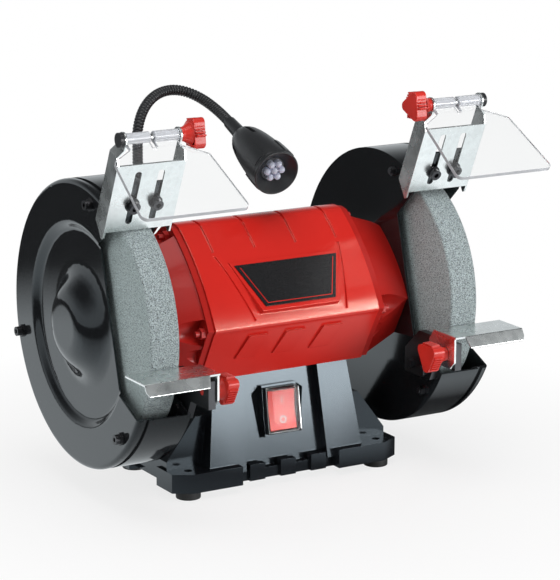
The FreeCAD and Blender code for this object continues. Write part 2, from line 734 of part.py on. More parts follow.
def spark_guards():
    half = SPARK_W / 2
    plate = box(-half, half, 0, SHEET, 0, SPARK_H)
    for x in (-SLOT_X, SLOT_X):
        w = SLOT_W / 2
        slot = box(x - w, x + w, 0, SHEET, SLOT_LOW + w, SLOT_HIGH - w)
        for s in (SLOT_LOW + w, SLOT_HIGH - w):
            slot = slot.fuse(rod_y(w, x, 0, SHEET, s))
        plate = plate.cut(slot)
    waist = SPARK_WAIST
    side = [(0, SPARK_NOSE - SPARK_TIP), (SPARK_NOSE, -SPARK_TIP), (SPARK_DEPTH, SPARK_HEEL),
            (SPARK_DEPTH, waist - SPARK_NECK),
            (HINGE_N + EAR_R, waist), (HINGE_N - EAR_R, waist), (0, SPARK_H)]
    walls = []
    for sign in (-1, 1):
        x0, x1 = sorted((sign * half, sign * (half - SHEET)))
        walls.append(prism_x(side, x0, x1))
        lean = []
        for s, x in ((waist, half), (HINGE_S - EAR_R, EAR_HALF + SHEET)):
            for n in (HINGE_N - EAR_R, HINGE_N + EAR_R):
                lean.append((sign * x, n, s))
        corners = [V(*lean[0]), V(*lean[1]), V(*lean[3]), V(*lean[2])]
        bend = Part.Face(Part.makePolygon(corners + corners[:1])).extrude(V(-sign * SHEET, 0, 0))
        ear_x = sorted((sign * EAR_HALF, sign * (EAR_HALF + SHEET)))
        ear = rod(EAR_R, ear_x[0], ear_x[1], HINGE_N, HINGE_S)
        ear = ear.fuse(box(ear_x[0], ear_x[1], HINGE_N - EAR_R, HINGE_N + EAR_R, HINGE_S - EAR_R, HINGE_S))
        walls += [bend, ear]
    bracket = fused([plate] + walls)
    bracket = bracket.cut(rod(PIN_R + FIT, -half, half, HINGE_N, HINGE_S))
    spark_pair("spark_guard", bracket)

    cap_x = EAR_HALF + SHEET
    cap = rod(CAP_R, cap_x, cap_x + CAP_L, HINGE_N, HINGE_S)
    cap = cap.cut(rod(PIN_R + FIT, cap_x, cap_x + CAP_L - CAP_END, HINGE_N, HINGE_S))
    spark_pair("hinge_cap", cap)

    screws, washers = [], []
    front = -GAP
    back = SHEET + GAP + LUG_T
    for x in (-SLOT_X, SLOT_X):
        washer = rod_y(WASHER_R, x, front - WASHER_T, front, SPARK_SCREW_S)
        washers.append(washer.cut(rod_y(SPARK_SCREW_R + FIT, x, front - WASHER_T, front, SPARK_SCREW_S)))
        head_front = front - WASHER_T - HEAD_L
        head = rod_y(HEAD_R, x, head_front, front - WASHER_T, SPARK_SCREW_S)
        key = hexagon(SOCKET_ACROSS, 0, SOCKET_L, 0, 0)
        key.rotate(V(0, 0, 0), V(0, 0, 1), 90)
        key.translate(V(x, head_front, SPARK_SCREW_S))
        shank = rod_y(SPARK_SCREW_R, x, front - WASHER_T, back + SPARK_SCREW_STUB, SPARK_SCREW_S)
        screws.append(fused([head.cut(key), shank]))
    pair("spark_screws", spark_placed(group(screws + washers)))


# A clamping knob on the X axis, hub at x = 0, reaching towards -x, one corner at the given turn
def knob(screw_r, screw_end, corner):
    hub = Part.makeCylinder(KNOB_HUB_R, KNOB_HUB_L, V(-KNOB_HUB_L, 0, 0), V(1, 0, 0))
    flare = Part.makeCone(KNOB_FLARE_R, KNOB_HUB_R, KNOB_FLARE_L, V(-KNOB_HUB_L, 0, 0), V(1, 0, 0))
    tips = [math.radians(corner + 120 * i) for i in range(3)]
    reach = KNOB_R - KNOB_TIP_R
    centres = [(reach * math.cos(a), reach * math.sin(a)) for a in tips]
    body = [rod(KNOB_TIP_R, -KNOB_HUB_L - KNOB_L, -KNOB_HUB_L, y, z) for y, z in centres]
    outline = []
    for a, (y, z) in zip(tips, centres):
        for swing in (-KNOB_SWING, KNOB_SWING):
            b = a + math.radians(swing)
            outline.append((y + KNOB_TIP_R * math.cos(b), z + KNOB_TIP_R * math.sin(b)))
    body.append(prism_x(outline, -KNOB_HUB_L - KNOB_L, -KNOB_HUB_L))
    screw = Part.makeCylinder(screw_r, screw_end + KNOB_HUB_L, V(-KNOB_HUB_L, 0, 0), V(1, 0, 0))
    return fused(body + [hub, flare, screw])


def eye_shields():
    barrel_end = EAR_HALF - GAP
    top = -SHIELD_DROP
    neck = barrel_end - SHIELD_SET
    outline = [(-neck, 0.0), (neck, 0.0), (neck, -SHIELD_NECK), (SHIELD_SHOULDER_HALF, -SHIELD_SHOULDER),
               (SHIELD_LOW_HALF, -SHIELD_LENGTH), (-SHIELD_LOW_HALF, -SHIELD_LENGTH),
               (-SHIELD_SHOULDER_HALF, -SHIELD_SHOULDER), (-neck, -SHIELD_NECK)]
    sheet = prism_z(outline, top - SHIELD_T, top)
    uprights = [e for e in sheet.Edges if abs(e.tangentAt(e.FirstParameter).z) > 0.99
                and e.CenterOfMass.y < -SHIELD_NECK - SHIELD_SET]
    sheet = sheet.makeFillet(SHIELD_CORNER, uprights)
    gap = box(-BARREL_GAP / 2, BARREL_GAP / 2, -SHIELD_NECK, BARREL_R, -2 * BARREL_R, 2 * BARREL_R)
    barrel = rod(BARREL_R, -barrel_end, barrel_end, 0, 0)
    shield = fused([sheet, barrel]).cut(gap)
    shield = shield.cut(rod(PIN_R + FIT, -barrel_end, barrel_end, 0, 0))
    shield.rotate(V(0, 0, 0), V(1, 0, 0), SHIELD_TILT - SPARK_LEAN)
    shield.translate(V(0, HINGE_N, HINGE_S))
    spark_pair("eye_shield", shield)

    hub_x = -(EAR_HALF + SHEET + GAP)
    clamp = knob(PIN_R, EAR_HALF + SHEET + CAP_L - PIN_END - hub_x, KNOB_CORNER)
    clamp.translate(V(hub_x, HINGE_N, HINGE_S))
    spark_pair("shield_knob", clamp)


def tool_rests():
    drop = math.radians(REST_LIP_DROP)
    lip_y = REST_FOLD_Y - REST_LIP * math.cos(drop)
    lip_z = REST_TOP_Z - REST_LIP * math.sin(drop)
    thick_y = REST_T * math.sin(drop)
    thick_z = REST_T * math.cos(drop)
    under = (REST_FOLD_Y + thick_y / 2, REST_TOP_Z - REST_T)
    top = prism_x([(REST_BACK_Y, REST_TOP_Z), (REST_FOLD_Y, REST_TOP_Z), under,
                   (REST_BACK_Y, REST_TOP_Z - REST_T)], FLANGE_X, REST_OUT_X)
    lip = prism_x([(REST_FOLD_Y, REST_TOP_Z), (lip_y, lip_z), (lip_y + thick_y, lip_z - thick_z), under],
                  FLANGE_X, REST_OUT_X)
    trim = [(FLANGE_X, REST_TOP_Z), (FLANGE_X + LIP_SET, REST_TOP_Z),
            (FLANGE_X + LIP_SET + LIP_SLANT, lip_z - REST_T), (FLANGE_X, lip_z - REST_T)]
    tail = [(REST_OUT_X, lip_z - REST_T), (REST_OUT_X, lip_z + LIP_SLANT),
            (REST_OUT_X - LIP_SLANT, lip_z - REST_T)]
    for outline in (trim, tail):
        lip = lip.cut(prism_y(outline, 2 * REST_FOLD_Y, 0))
    flange_out = FLANGE_X + REST_T
    slot_front = REST_SCREW_Y - REST_SCREW_R
    slot_back = REST_SCREW_Y + REST_SLOT_L + REST_SCREW_R
    front = REST_FOLD_Y + REST_T
    back = slot_back + FLANGE_MARGIN
    outline = [(REST_BACK_Y, REST_TOP_Z), (front, REST_TOP_Z), (front, FLANGE_LOW_Z + FLANGE_CUT),
               (front + FLANGE_CUT, FLANGE_LOW_Z), (back, FLANGE_LOW_Z), (back, FLANGE_HIGH_Z)]
    flange = prism_x(outline, FLANGE_X, flange_out)
    w = REST_SLOT_W / 2
    slot = box(FLANGE_X, flange_out, slot_front + w, slot_back - w, REST_SLOT_Z - w, REST_SLOT_Z + w)
    for y in (slot_front + w, slot_back - w):
        slot = slot.fuse(rod(w, FLANGE_X, flange_out, y, REST_SLOT_Z))
    pair("tool_rest", fused([top, lip, flange.cut(slot)]))

    arm_x = flange_out + GAP
    plate_out = GUARD_PLATE_X + GUARD_PLATE_T
    outline = [(ARM_FRONT_Y, ARM_LOW_Z), (ARM_FRONT_Y, ARM_HIGH_Z)] + list(ARM_TONGUE)
    arm = prism_x(outline, arm_x, GUARD_PLATE_X)
    arm = arm.cut(rod(REST_SCREW_R + FIT, arm_x, GUARD_PLATE_X, REST_SCREW_Y, REST_SLOT_Z))
    bolts = []
    for y, z in ARM_BOLTS:
        arm = arm.cut(rod(ARM_BOLT_R + FIT, arm_x, GUARD_PLATE_X, y, z))
        shank = rod(ARM_BOLT_R, arm_x, plate_out, y, z)
        head = hexagon(ARM_HEAD_ACROSS, arm_x - ARM_HEAD_T, arm_x, y, z)
        tail = hexagon(ARM_HEAD_ACROSS, plate_out, plate_out + ARM_TAIL_T, y, z)
        bolt = fused([shank, head, tail])
        bolts += [bolt, mirrored(bolt)]
    pair("rest_arm", arm)
    parts["arm_bolts"] = group(bolts)

    hub_x = FLANGE_X - GAP
    clamp = knob(REST_SCREW_R, GUARD_PLATE_X - hub_x, -KNOB_CORNER)
    clamp.translate(V(hub_x, REST_SCREW_Y, REST_SLOT_Z))
    pair("rest_knob", clamp)


# The column's front face leans back by this angle
COLUMN_TOP_Z = SHAFT_Z - SEAT_DROP
COLUMN_LEAN = math.degrees(math.atan2(COLUMN_LOW_Y - COLUMN_TOP_Y, COLUMN_TOP_Z - PLATE_TOP_Z))


def panel_y(z):
    share = (z - PLATE_TOP_Z) / (COLUMN_TOP_Z - PLATE_TOP_Z)
    return PANEL_DEPTH - COLUMN_LOW_Y + share * (COLUMN_LOW_Y - COLUMN_TOP_Y)


# Switch frame: x across, front is -y from the plinth's face, z up the sloping panel
def switch_placed(shape):
    shape = shape.copy()
    shape.rotate(V(0, 0, 0), V(1, 0, 0), -COLUMN_LEAN)
    shape.translate(V(0, panel_y(SWITCH_Z) - PLINTH_RISE, SWITCH_Z))
    return shape


def base():
    floor_x, floor_y = COLUMN_LOW_X - WALL, COLUMN_LOW_Y - PANEL_DEPTH - WALL
    plate = box(-BASE_HALF_X + BASE_STEP, BASE_HALF_X - BASE_STEP, -BASE_HALF_Y + BASE_STEP,
                BASE_HALF_Y - BASE_STEP, BASE_Z, PLATE_TOP_Z)
    pieces = [plate]
    for sx in (-1, 1):
        for sy in (-1, 1):
            outline = [(sx * PAD_INNER_X, sy * PAD_INNER_Y), (sx * BASE_HALF_X, sy * PAD_INNER_Y),
                       (sx * BASE_HALF_X, sy * (BASE_HALF_Y - PAD_CHAMFER_Y)),
                       (sx * (BASE_HALF_X - PAD_CHAMFER_X), sy * BASE_HALF_Y),
                       (sx * PAD_INNER_X, sy * BASE_HALF_Y)]
            pieces.append(prism_z(outline, BASE_Z, PAD_TOP_Z))
    for x in BLOCK_X:
        half = BLOCK_W / 2
        pieces.append(box(x - half, x + half, -BLOCK_Y, BLOCK_L - BLOCK_Y, BASE_Z, BLOCK_TOP_Z))
    column = frustum((-COLUMN_LOW_X, COLUMN_LOW_X), (-COLUMN_LOW_Y, COLUMN_LOW_Y), PLATE_TOP_Z,
                     (-COLUMN_TOP_X, COLUMN_TOP_X), (-COLUMN_TOP_Y, COLUMN_TOP_Y), COLUMN_TOP_Z)
    far = -2 * BASE_HALF_Y
    recess = frustum((-PANEL_LOW_X, PANEL_LOW_X), (far, panel_y(PLATE_TOP_Z)), PLATE_TOP_Z,
                     (-PANEL_TOP_X, PANEL_TOP_X), (far, panel_y(COLUMN_TOP_Z)), COLUMN_TOP_Z)
    pieces.append(column.cut(recess))
    for sx in (-1, 1):
        wing = [(COLUMN_LOW_X - WALL, PLATE_TOP_Z), (WING_X, PLATE_TOP_Z), (WING_X, PAD_TOP_Z + WING_LIP),
                (WING_HIGH_X, WING_HIGH_Z), (COLUMN_TOP_X - WALL, WING_HIGH_Z)]
        pieces.append(prism_y([(sx * x, z) for x, z in wing], -WING_HALF_Y, WING_HALF_Y))
    pieces.append(rod_y(GLAND_BOSS_R, GLAND_X, floor_y, GLAND_BOSS_Y, GLAND_Z))
    body = fused(pieces)

    plinth_x, plinth_z = SWITCH_W / 2 + PLINTH_MARGIN, SWITCH_H / 2 + PLINTH_MARGIN
    for sx in (-1, 1):
        pocket = [(sx * plinth_x, plinth_z), (sx * (plinth_x + POCKET_W), plinth_z - POCKET_SLANT),
                  (sx * (plinth_x + POCKET_FOOT), -plinth_z), (sx * plinth_x, -plinth_z)]
        body = body.cut(switch_placed(prism_y(pocket, PLINTH_RISE / 2, PLINTH_RISE + POCKET_DEPTH)))
    plinth = box(-plinth_x, plinth_x, 0, PLINTH_RISE + WALL, -plinth_z, plinth_z)
    body = body.fuse(switch_placed(plinth))
    roof_x, roof_y = COLUMN_TOP_X - WALL, COLUMN_TOP_Y - PANEL_DEPTH - WALL
    cavity = frustum((-floor_x, floor_x), (-floor_y, floor_y), BASE_Z,
                     (-roof_x, roof_x), (-roof_y, roof_y), COLUMN_TOP_Z - ROOF)
    body = body.cut(cavity.cut(rod_y(GLAND_BOSS_R, GLAND_X, 0, GLAND_BOSS_Y, GLAND_Z)))
    hole_x, hole_z = SWITCH_W / 2 - SWITCH_LEDGE, SWITCH_H / 2 - SWITCH_LEDGE
    body = body.cut(switch_placed(box(-hole_x, hole_x, -WALL, SWITCH_DEPTH + WALL, -hole_z, hole_z)))
    body = body.cut(rod_y(GLAND_R + FIT, GLAND_X, 0, GLAND_BOSS_Y, GLAND_Z))
    ledge_x, ledge_y = floor_x + FLOOR_LEDGE, floor_y + FLOOR_LEDGE
    body = body.cut(box(-ledge_x, ledge_x, -ledge_y, ledge_y, BASE_Z, BASE_Z + FLOOR_T))
    feet_at = [(sx * FOOT_X, sy * FOOT_Y) for sx in (-1, 1) for sy in (-1, 1)]
    feet = []
    for x, y in feet_at:
        body = body.cut(post(BENCH_HOLE_R, x, y, BASE_Z, PAD_TOP_Z))
        body = body.cut(post(FOOT_SPIGOT_R + FIT, x, y, BASE_Z, BASE_Z + FOOT_SPIGOT_H))
        spigot_z = BASE_Z + FOOT_SPIGOT_H
        foot = fused([post(FOOT_R, x, y, 0, BASE_Z), post(FOOT_SPIGOT_R, x, y, BASE_Z, spigot_z)])
        feet.append(foot.cut(post(BENCH_HOLE_R, x, y, 0, spigot_z)))
    parts["rubber_feet"] = group(feet)

    lid = box(-ledge_x + GAP, ledge_x - GAP, -ledge_y + GAP, ledge_y - GAP, BASE_Z, BASE_Z + FLOOR_T)
    screws = []
    for sx in (-1, 1):
        for sy in (-1, 1):
            x, y = sx * (floor_x + FLOOR_LEDGE / 2), sy * (floor_y - FLOOR_LEDGE)
            lid = lid.cut(post(FLOOR_SCREW_R + FIT, x, y, BASE_Z, BASE_Z + FLOOR_T))
            body = body.cut(post(FLOOR_SCREW_R + FIT, x, y, BASE_Z, PLATE_TOP_Z - FLOOR_HOLE_END))
            head = post(2 * FLOOR_SCREW_R, x, y, BASE_Z - FLOOR_HEAD_T, BASE_Z)
            shank = post(FLOOR_SCREW_R, x, y, BASE_Z, PLATE_TOP_Z - FLOOR_SCREW_END)
            screws.append(fused([head, shank]))
    parts["base_pedestal"] = body
    parts["base_floor_plate"] = lid
    parts["floor_screws"] = group(screws)

    can_z = BASE_Z + FLOOR_T + CAPACITOR_R + FIT
    parts["start_capacitor"] = rod(CAPACITOR_R, -CAPACITOR_L / 2, CAPACITOR_L / 2, 0, can_z)
    gland_back = GLAND_BOSS_Y + GLAND_NUT_L
    tube = rod_y(GLAND_R, GLAND_X, GLAND_BOSS_Y - GLAND_TUBE_L, GLAND_BOSS_Y, GLAND_Z)
    nut = rod_y(GLAND_NUT_R, GLAND_X, GLAND_BOSS_Y, gland_back, GLAND_Z)
    bore = rod_y(GLAND_BORE_R, GLAND_X, GLAND_BOSS_Y - GLAND_TUBE_L, gland_back, GLAND_Z)
    parts["cable_gland"] = fused([tube, nut]).cut(bore)


def switch():
    half_w, half_h = SWITCH_W / 2, SWITCH_H / 2
    frame = box(-half_w, half_w, -SWITCH_RISE, 0, -half_h, half_h)
    body_x, body_z = half_w - SWITCH_LEDGE - FIT, half_h - SWITCH_LEDGE - FIT
    frame = frame.fuse(box(-body_x, body_x, 0, SWITCH_DEPTH, -body_z, body_z))
    room_x, room_z = ROCKER_W / 2 + ROCKER_ROOM, ROCKER_H / 2 + ROCKER_ROOM + ROCKER_SWING
    frame = frame.cut(box(-room_x, room_x, -SWITCH_RISE, SWITCH_DEPTH - SWITCH_FLOOR, -room_z, room_z))
    pin_room = room_x + ROCKER_PIN_ROOM
    frame = frame.cut(rod(ROCKER_PIN_R + FIT, -pin_room, pin_room, ROCKER_PIN_Y, 0)).removeSplitter()
    parts["switch_bezel"] = switch_placed(frame)
    edge_z = ROCKER_H / 2
    heel_y, heel_z = ROCKER_HEEL[0], edge_z - ROCKER_HEEL[1]
    profile = [(-ROCKER_EDGE, edge_z), (-ROCKER_MID, 0), (-ROCKER_EDGE, -edge_z),
               (heel_y, -heel_z), (ROCKER_KEEL, 0), (heel_y, heel_z)]
    pin_end = room_x + ROCKER_PIN_END
    paddle = prism_x(profile, -ROCKER_W / 2, ROCKER_W / 2)
    rocker = fused([paddle, rod(ROCKER_PIN_R, -pin_end, pin_end, ROCKER_PIN_Y, 0)])
    parts["switch_rocker"] = switch_placed(rocker)
    front = -SWITCH_RISE - COVER_DOME
    top_w, top_h = half_w - COVER_TAPER, half_h - COVER_TAPER
    dome = frustum((-top_w, top_w), (-top_h, top_h), 0, (-half_w, half_w), (-half_h, half_h), COVER_DOME)
    t = COVER_WALL
    hollow = frustum((t - top_w, top_w - t), (t - top_h, top_h - t), t,
                     (t - half_w, half_w - t), (t - half_h, half_h - t), COVER_DOME)
    shell = dome.cut(hollow)
    shell.rotate(V(0, 0, 0), V(1, 0, 0), -90)
    shell.translate(V(0, front, 0))
    parts["splash_cover"] = switch_placed(shell)


# The gooseneck's centre line: a straight riser, then one bend to the lamp
def neck_line():
    axis = V(LAMP_AXIS).normalize()
    end = LAMP_RIM - axis * (LAMP_BELL_L + LAMP_FERRULE_L)
    start = V(NECK_X, NECK_Y, NECK_BEND_Z)
    handles = (start, start + V(0, 0, NECK_RISE), end - axis * NECK_REACH, end)
    curve = Part.BezierCurve()
    curve.setPoles(list(handles))
    return curve, axis, end


# Ribbed tube on a list of (centre, direction) stations, one rib between two stations
def ribbed(curve, first, last, side):
    count = int(round((last - first) / NECK_PITCH))
    step = (last - first) / count
    wires = []
    straight = 2 * NECK_R
    for i in range(count):
        plain = i * step < straight or (count - i) * step < straight
        top = NECK_ROOT_R if plain else NECK_R
        for share, r in ((0.05, NECK_ROOT_R), (0.3, top), (0.7, top), (0.95, NECK_ROOT_R)):
            wires.append((first + (i + share) * step, r))
    wires[0] = (first, NECK_ROOT_R)
    wires[-1] = (last, NECK_ROOT_R)
    outer = Part.makeLoft([hose_circle(curve, at, r, side) for at, r in wires], True, True)
    bores = [first + i * step for i in range(count + 1)]
    inner = Part.makeLoft([hose_circle(curve, at, NECK_BORE_R, side) for at in bores], True, True)
    return outer.cut(inner)


def hose_circle(curve, at, r, side):
    riser = NECK_BEND_Z - NECK_LOW_Z
    if at <= riser:
        centre, along = V(NECK_X, NECK_Y, NECK_LOW_Z + at), V(0, 0, 1)
    else:
        u = curve.parameterAtDistance(at - riser, 0.0)
        centre, along = curve.value(u), V(curve.tangent(u)[0])
    circle = Part.Circle(centre, along, r)
    circle.XAxis = (side - along * side.dot(along)).normalize()
    return Part.Wire(circle.toShape())


def lamp():
    curve, axis, end = neck_line()
    whole = NECK_BEND_Z - NECK_LOW_Z + curve.length() - FIT
    side = V(0, 0, 1).cross(end - V(NECK_X, NECK_Y, end.z)).normalize()
    split = whole - NECK_UPPER_L
    parts["gooseneck_lower"] = ribbed(curve, 0.0, split, side)
    parts["gooseneck_upper"] = ribbed(curve, split, whole, side)

    left, right = NECK_X - SOCKET_HALF, NECK_X + SOCKET_HALF
    block = box(left, right, SOCKET_FRONT_Y, NECK_Y, SOCKET_LOW_Z, SOCKET_HIGH_Z)
    block = fused([block, post(SOCKET_HALF, NECK_X, NECK_Y, SOCKET_LOW_Z, SOCKET_HIGH_Z)])
    block = block.cut(motor_prism(-MOTOR_HALF, MOTOR_HALF))
    bell_zone = motor_prism(-GUARD_PLATE_X, -MOTOR_HALF)
    block = block.cut(bell_zone).cut(post(NECK_R + FIT, NECK_X, NECK_Y, NECK_LOW_Z - FIT, SOCKET_HIGH_Z))
    parts["lamp_socket"] = block

    # Lamp pieces are turned about +Z, back end at 0, then aimed
    def aimed(shape):
        shape = shape.copy()
        aim = FreeCAD.Placement(end, FreeCAD.Rotation(V(0, 0, 1), axis))
        shape.Placement = aim.multiply(shape.Placement)
        return shape

    def spun(outline):
        points = [V(r, 0, z) for r, z in outline]
        return Part.Face(Part.makePolygon(points + points[:1])).revolve(V(0, 0, 0), V(0, 0, 1), 360)

    back = LAMP_FERRULE_L
    rim = back + LAMP_BELL_L
    cup = rim - LAMP_CUP_L
    shell = [(0, 0), (LAMP_NECK_R, 0), (LAMP_FERRULE_R, back)]
    shell += [(r, back + along) for r, along in LAMP_BODY]
    shell += [(LAMP_RIM_R, rim - LAMP_BAND_L), (LAMP_RIM_R, rim),
              (LAMP_RIM_R - LAMP_SHELL, rim), (BOARD_R + FIT, cup + BOARD_T), (BOARD_R + FIT, cup), (0, cup)]
    parts["lamp_head"] = aimed(spun(shell))
    parts["led_board"] = aimed(Part.makeCylinder(BOARD_R, BOARD_T, V(0, 0, cup)))
    leds = []
    spots = [(0.0, 0.0)]
    for i in range(LED_COUNT):
        turn = math.radians(360.0 * i / LED_COUNT)
        spots.append((LED_RING_R * math.cos(turn), LED_RING_R * math.sin(turn)))
    face = cup + BOARD_T
    for x, y in spots:
        lens = Part.makeCylinder(LED_R, LED_H, V(x, y, face))
        leds.append(aimed(lens.fuse(Part.makeSphere(LED_R, V(x, y, face + LED_H))).removeSplitter()))
    parts["lamp_leds"] = group(leds)


motor()
rotor()
bearings()
guards()
spark_guards()
eye_shields()
tool_rests()
base()
switch()
lamp()

os.makedirs("parts", exist_ok=True)
for name, shape in parts.items():
    shape.exportStep("parts/" + name + ".step")
    print(name, shape.isValid(), len(shape.Solids), round(shape.Volume / 1000.0, 2))
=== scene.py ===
import json
import math

import bpy
from mathutils import Matrix, Vector

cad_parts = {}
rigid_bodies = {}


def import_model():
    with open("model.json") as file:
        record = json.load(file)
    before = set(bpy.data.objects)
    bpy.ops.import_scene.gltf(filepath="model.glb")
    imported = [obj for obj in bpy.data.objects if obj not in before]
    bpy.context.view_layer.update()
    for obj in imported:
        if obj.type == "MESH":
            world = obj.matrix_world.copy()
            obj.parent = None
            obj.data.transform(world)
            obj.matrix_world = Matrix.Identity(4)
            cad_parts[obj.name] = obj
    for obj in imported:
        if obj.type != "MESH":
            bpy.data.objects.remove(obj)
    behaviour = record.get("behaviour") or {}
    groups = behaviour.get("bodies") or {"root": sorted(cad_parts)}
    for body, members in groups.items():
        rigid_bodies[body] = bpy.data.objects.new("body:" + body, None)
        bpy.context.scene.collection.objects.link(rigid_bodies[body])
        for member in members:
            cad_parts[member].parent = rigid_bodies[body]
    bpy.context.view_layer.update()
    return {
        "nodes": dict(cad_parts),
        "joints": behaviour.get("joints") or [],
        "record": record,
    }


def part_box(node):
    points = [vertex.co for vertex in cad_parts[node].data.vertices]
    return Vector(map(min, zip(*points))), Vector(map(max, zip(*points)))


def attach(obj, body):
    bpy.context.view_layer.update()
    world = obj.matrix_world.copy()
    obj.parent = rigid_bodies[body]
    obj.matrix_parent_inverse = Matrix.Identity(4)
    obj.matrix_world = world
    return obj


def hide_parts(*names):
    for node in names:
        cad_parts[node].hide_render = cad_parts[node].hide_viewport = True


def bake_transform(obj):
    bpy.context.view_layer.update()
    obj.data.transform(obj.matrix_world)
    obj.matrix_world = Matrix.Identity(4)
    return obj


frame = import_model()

SLOT_OF = {part["node"]: part["material_slot"] for part in frame["record"]["subparts"]}
BODY_OF = {node: body for body, nodes in frame["record"]["behaviour"]["bodies"].items() for node in nodes}
HINGE_AT = {joint["name"]: joint["pos_m"] for joint in frame["joints"] if "pos_m" in joint}
AWAY = {"left": -1, "right": 1}

# Camera, metres and pixels of a 560 x 580 picture
CAMERA_AT = Vector((-1.0207, -1.7560, 0.6363))
CAMERA_RIGHT = Vector((0.860, -0.510, 0.0040))
CAMERA_BACK = Vector((-0.496, -0.836, 0.234))
CAMERA_LENS = 160.0
CAMERA_SENSOR = 36.0
CAMERA_SHIFT = (0.0017, 0.0021)
CAMERA_NEAR = 0.05

# Gooseneck
NECK_FOOT = Vector((-0.062, 0.086, 0.118))
NECK_BEND = Vector((-0.062, 0.086, 0.262))
NECK_RISE = 0.048
NECK_REACH = 0.094
NECK_R = 0.0044
NECK_ROOT_R = 0.0037
NECK_PITCH = 0.0026
NECK_UPPER = 0.070
NECK_SIDES = 20
NECK_STEPS = 64
NECK_RIB_CUTS = (0.25, 0.5, 0.75)
NECK_RIB_SPAN = (0.2, 0.8)
NECK_MERGE = 1e-5
NECK_CREASED = math.radians(50)

# Work lamp: distance from the neck and radius of each ring, then the slots and pads cut round it
LAMP_RIM = Vector((0.002, -0.030, 0.2495))
LAMP_AXIS = Vector((-0.05, -0.95, -0.32)).normalized()
LAMP_LENGTH = 0.089
LAMP_NECK_END = LAMP_RIM - LAMP_AXIS * LAMP_LENGTH
LAMP_SIDES = 64
LAMP_RINGS = ((0.0, 0.0049), (0.001, 0.0052), (0.0235, 0.0059), (0.025, 0.0063), (0.0252, 0.0088), (0.0265, 0.0099),
              (0.030, 0.0117), (0.034, 0.0133), (0.040, 0.0148), (0.047, 0.0161), (0.054, 0.0170), (0.060, 0.0177),
              (0.066, 0.0182), (0.072, 0.0186), (0.077, 0.0188), (0.084, 0.0189), (0.0848, 0.0185), (0.086, 0.0185),
              (0.0866, 0.0191), (0.0884, 0.0191), (0.089, 0.0187), (0.089, 0.0178), (0.0882, 0.0173),
              (0.0812, 0.0102), (0.0796, 0.0101))
LAMP_CUP_R = 0.0180
LAMP_SLOT_ZONE = (0.027, 0.046)
LAMP_SLOT_STEP = 16
LAMP_SLOT_SPAN = (0, 1)
LAMP_SLOT_DEPTH = 0.0022
LAMP_PAD_ZONE = (0.066, 0.084)
LAMP_PAD_STEP = 16
LAMP_PAD_SPAN = (6, 7, 8, 9, 10, 11)
LAMP_PAD_RISE = 0.0009
LAMP_EDGE = 0.00025

# Wheels
SHAFT_Z = 0.140
STONE_R = 0.100
STONE_CORNER = (0.0016, 0.0008)

# Badge on the motor's front facet
CREASE = Vector((0.0, -0.069, 0.138))
FACET_UP = Vector((0.0, 0.060, 0.0723)).normalized()
FACET_OUT = Vector((0.0, -FACET_UP.z, FACET_UP.y))
BADGE_X = 0.003
BADGE_FACE = 0.0082
BADGE_LOW = 0.013
BADGE_HIGH = 0.051
BADGE_LOW_HALF = 0.032
BADGE_HIGH_HALF = 0.047
BADGE_MARGIN = 0.0024
BADGE_HIGH_MARGIN = BADGE_MARGIN * 1.6
BADGE_LINE_W = 0.0006
BADGE_LINE_T = 0.00015

# Switch marks
MARK_W = 0.0011
MARK_H = 0.0062
MARK_T = 0.00018
MARK_EDGE = MARK_T * 0.3
MARK_LIFT = MARK_T * 0.1
MARK_SIDES = 32
PADDLE_FACING = -0.6

# Eye shields and clamping knobs
PANE_T = 0.004
PANE_FLAT = 0.95
PIN_R = 0.0027
HUB_X = 0.1125
KNOB_HEAD_L = 0.010
KNOB_LOBES = 3
LOBE_TURN = 360.0 / KNOB_LOBES
FLANK = 0.0088
RIB_SPAN = 0.0120
RIB_COUNT = 6
RIB_SIZE = (0.0078, 0.0011, 0.0030)
RIB_EDGE = RIB_SIZE[1] * 0.35

# Meshes
MERGE = 1e-6
FLAT = math.radians(1.0)
CREASED = math.radians(30.0)
ROUND_SEGMENTS = 2


# Selecting and shaping
def pick(piece):
    bpy.ops.object.select_all(action="DESELECT")
    piece.select_set(True)
    bpy.context.view_layer.objects.active = piece


def added(name, add, **settings):
    bpy.ops.object.select_all(action="DESELECT")
    add(**settings)
    piece = bpy.context.object
    piece.name = name
    return piece


def editing(piece, select="SELECT"):
    pick(piece)
    bpy.ops.object.mode_set(mode="EDIT")
    bpy.ops.mesh.select_all(action=select)


def done():
    bpy.ops.object.mode_set(mode="OBJECT")


def choose_faces(piece, test):
    editing(piece, "DESELECT")
    bpy.ops.mesh.select_mode(type="FACE")
    done()
    for face in piece.data.polygons:
        face.select = test(face.center)
    bpy.ops.object.mode_set(mode="EDIT")


def applied(piece, kind, **settings):
    pick(piece)
    modifier = piece.modifiers.new(kind.title(), kind)
    for key, value in settings.items():
        setattr(modifier, key, value)
    bpy.ops.object.modifier_apply(modifier=modifier.name)


def settled(piece):
    pick(piece)
    bpy.ops.object.transform_apply(location=True, rotation=True, scale=True)


def smooth(piece, angle=CREASED):
    pick(piece)
    bpy.ops.object.shade_smooth_by_angle(angle=angle)


def rounded(piece, width, clamp=True):
    applied(piece, "BEVEL", width=width, segments=ROUND_SEGMENTS, limit_method="ANGLE", angle_limit=CREASED,
            use_clamp_overlap=clamp)
    editing(piece)
    bpy.ops.mesh.remove_doubles(threshold=MERGE)
    done()
    smooth(piece)
    applied(piece, "WEIGHTED_NORMAL", keep_sharp=True, weight=100)


def placed(piece, body, slot, *nodes):
    settled(piece)
    piece.data.materials.clear()
    piece.data.materials.append(FINISHES[slot])
    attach(piece, body)
    if nodes:
        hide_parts(*nodes)
    return piece


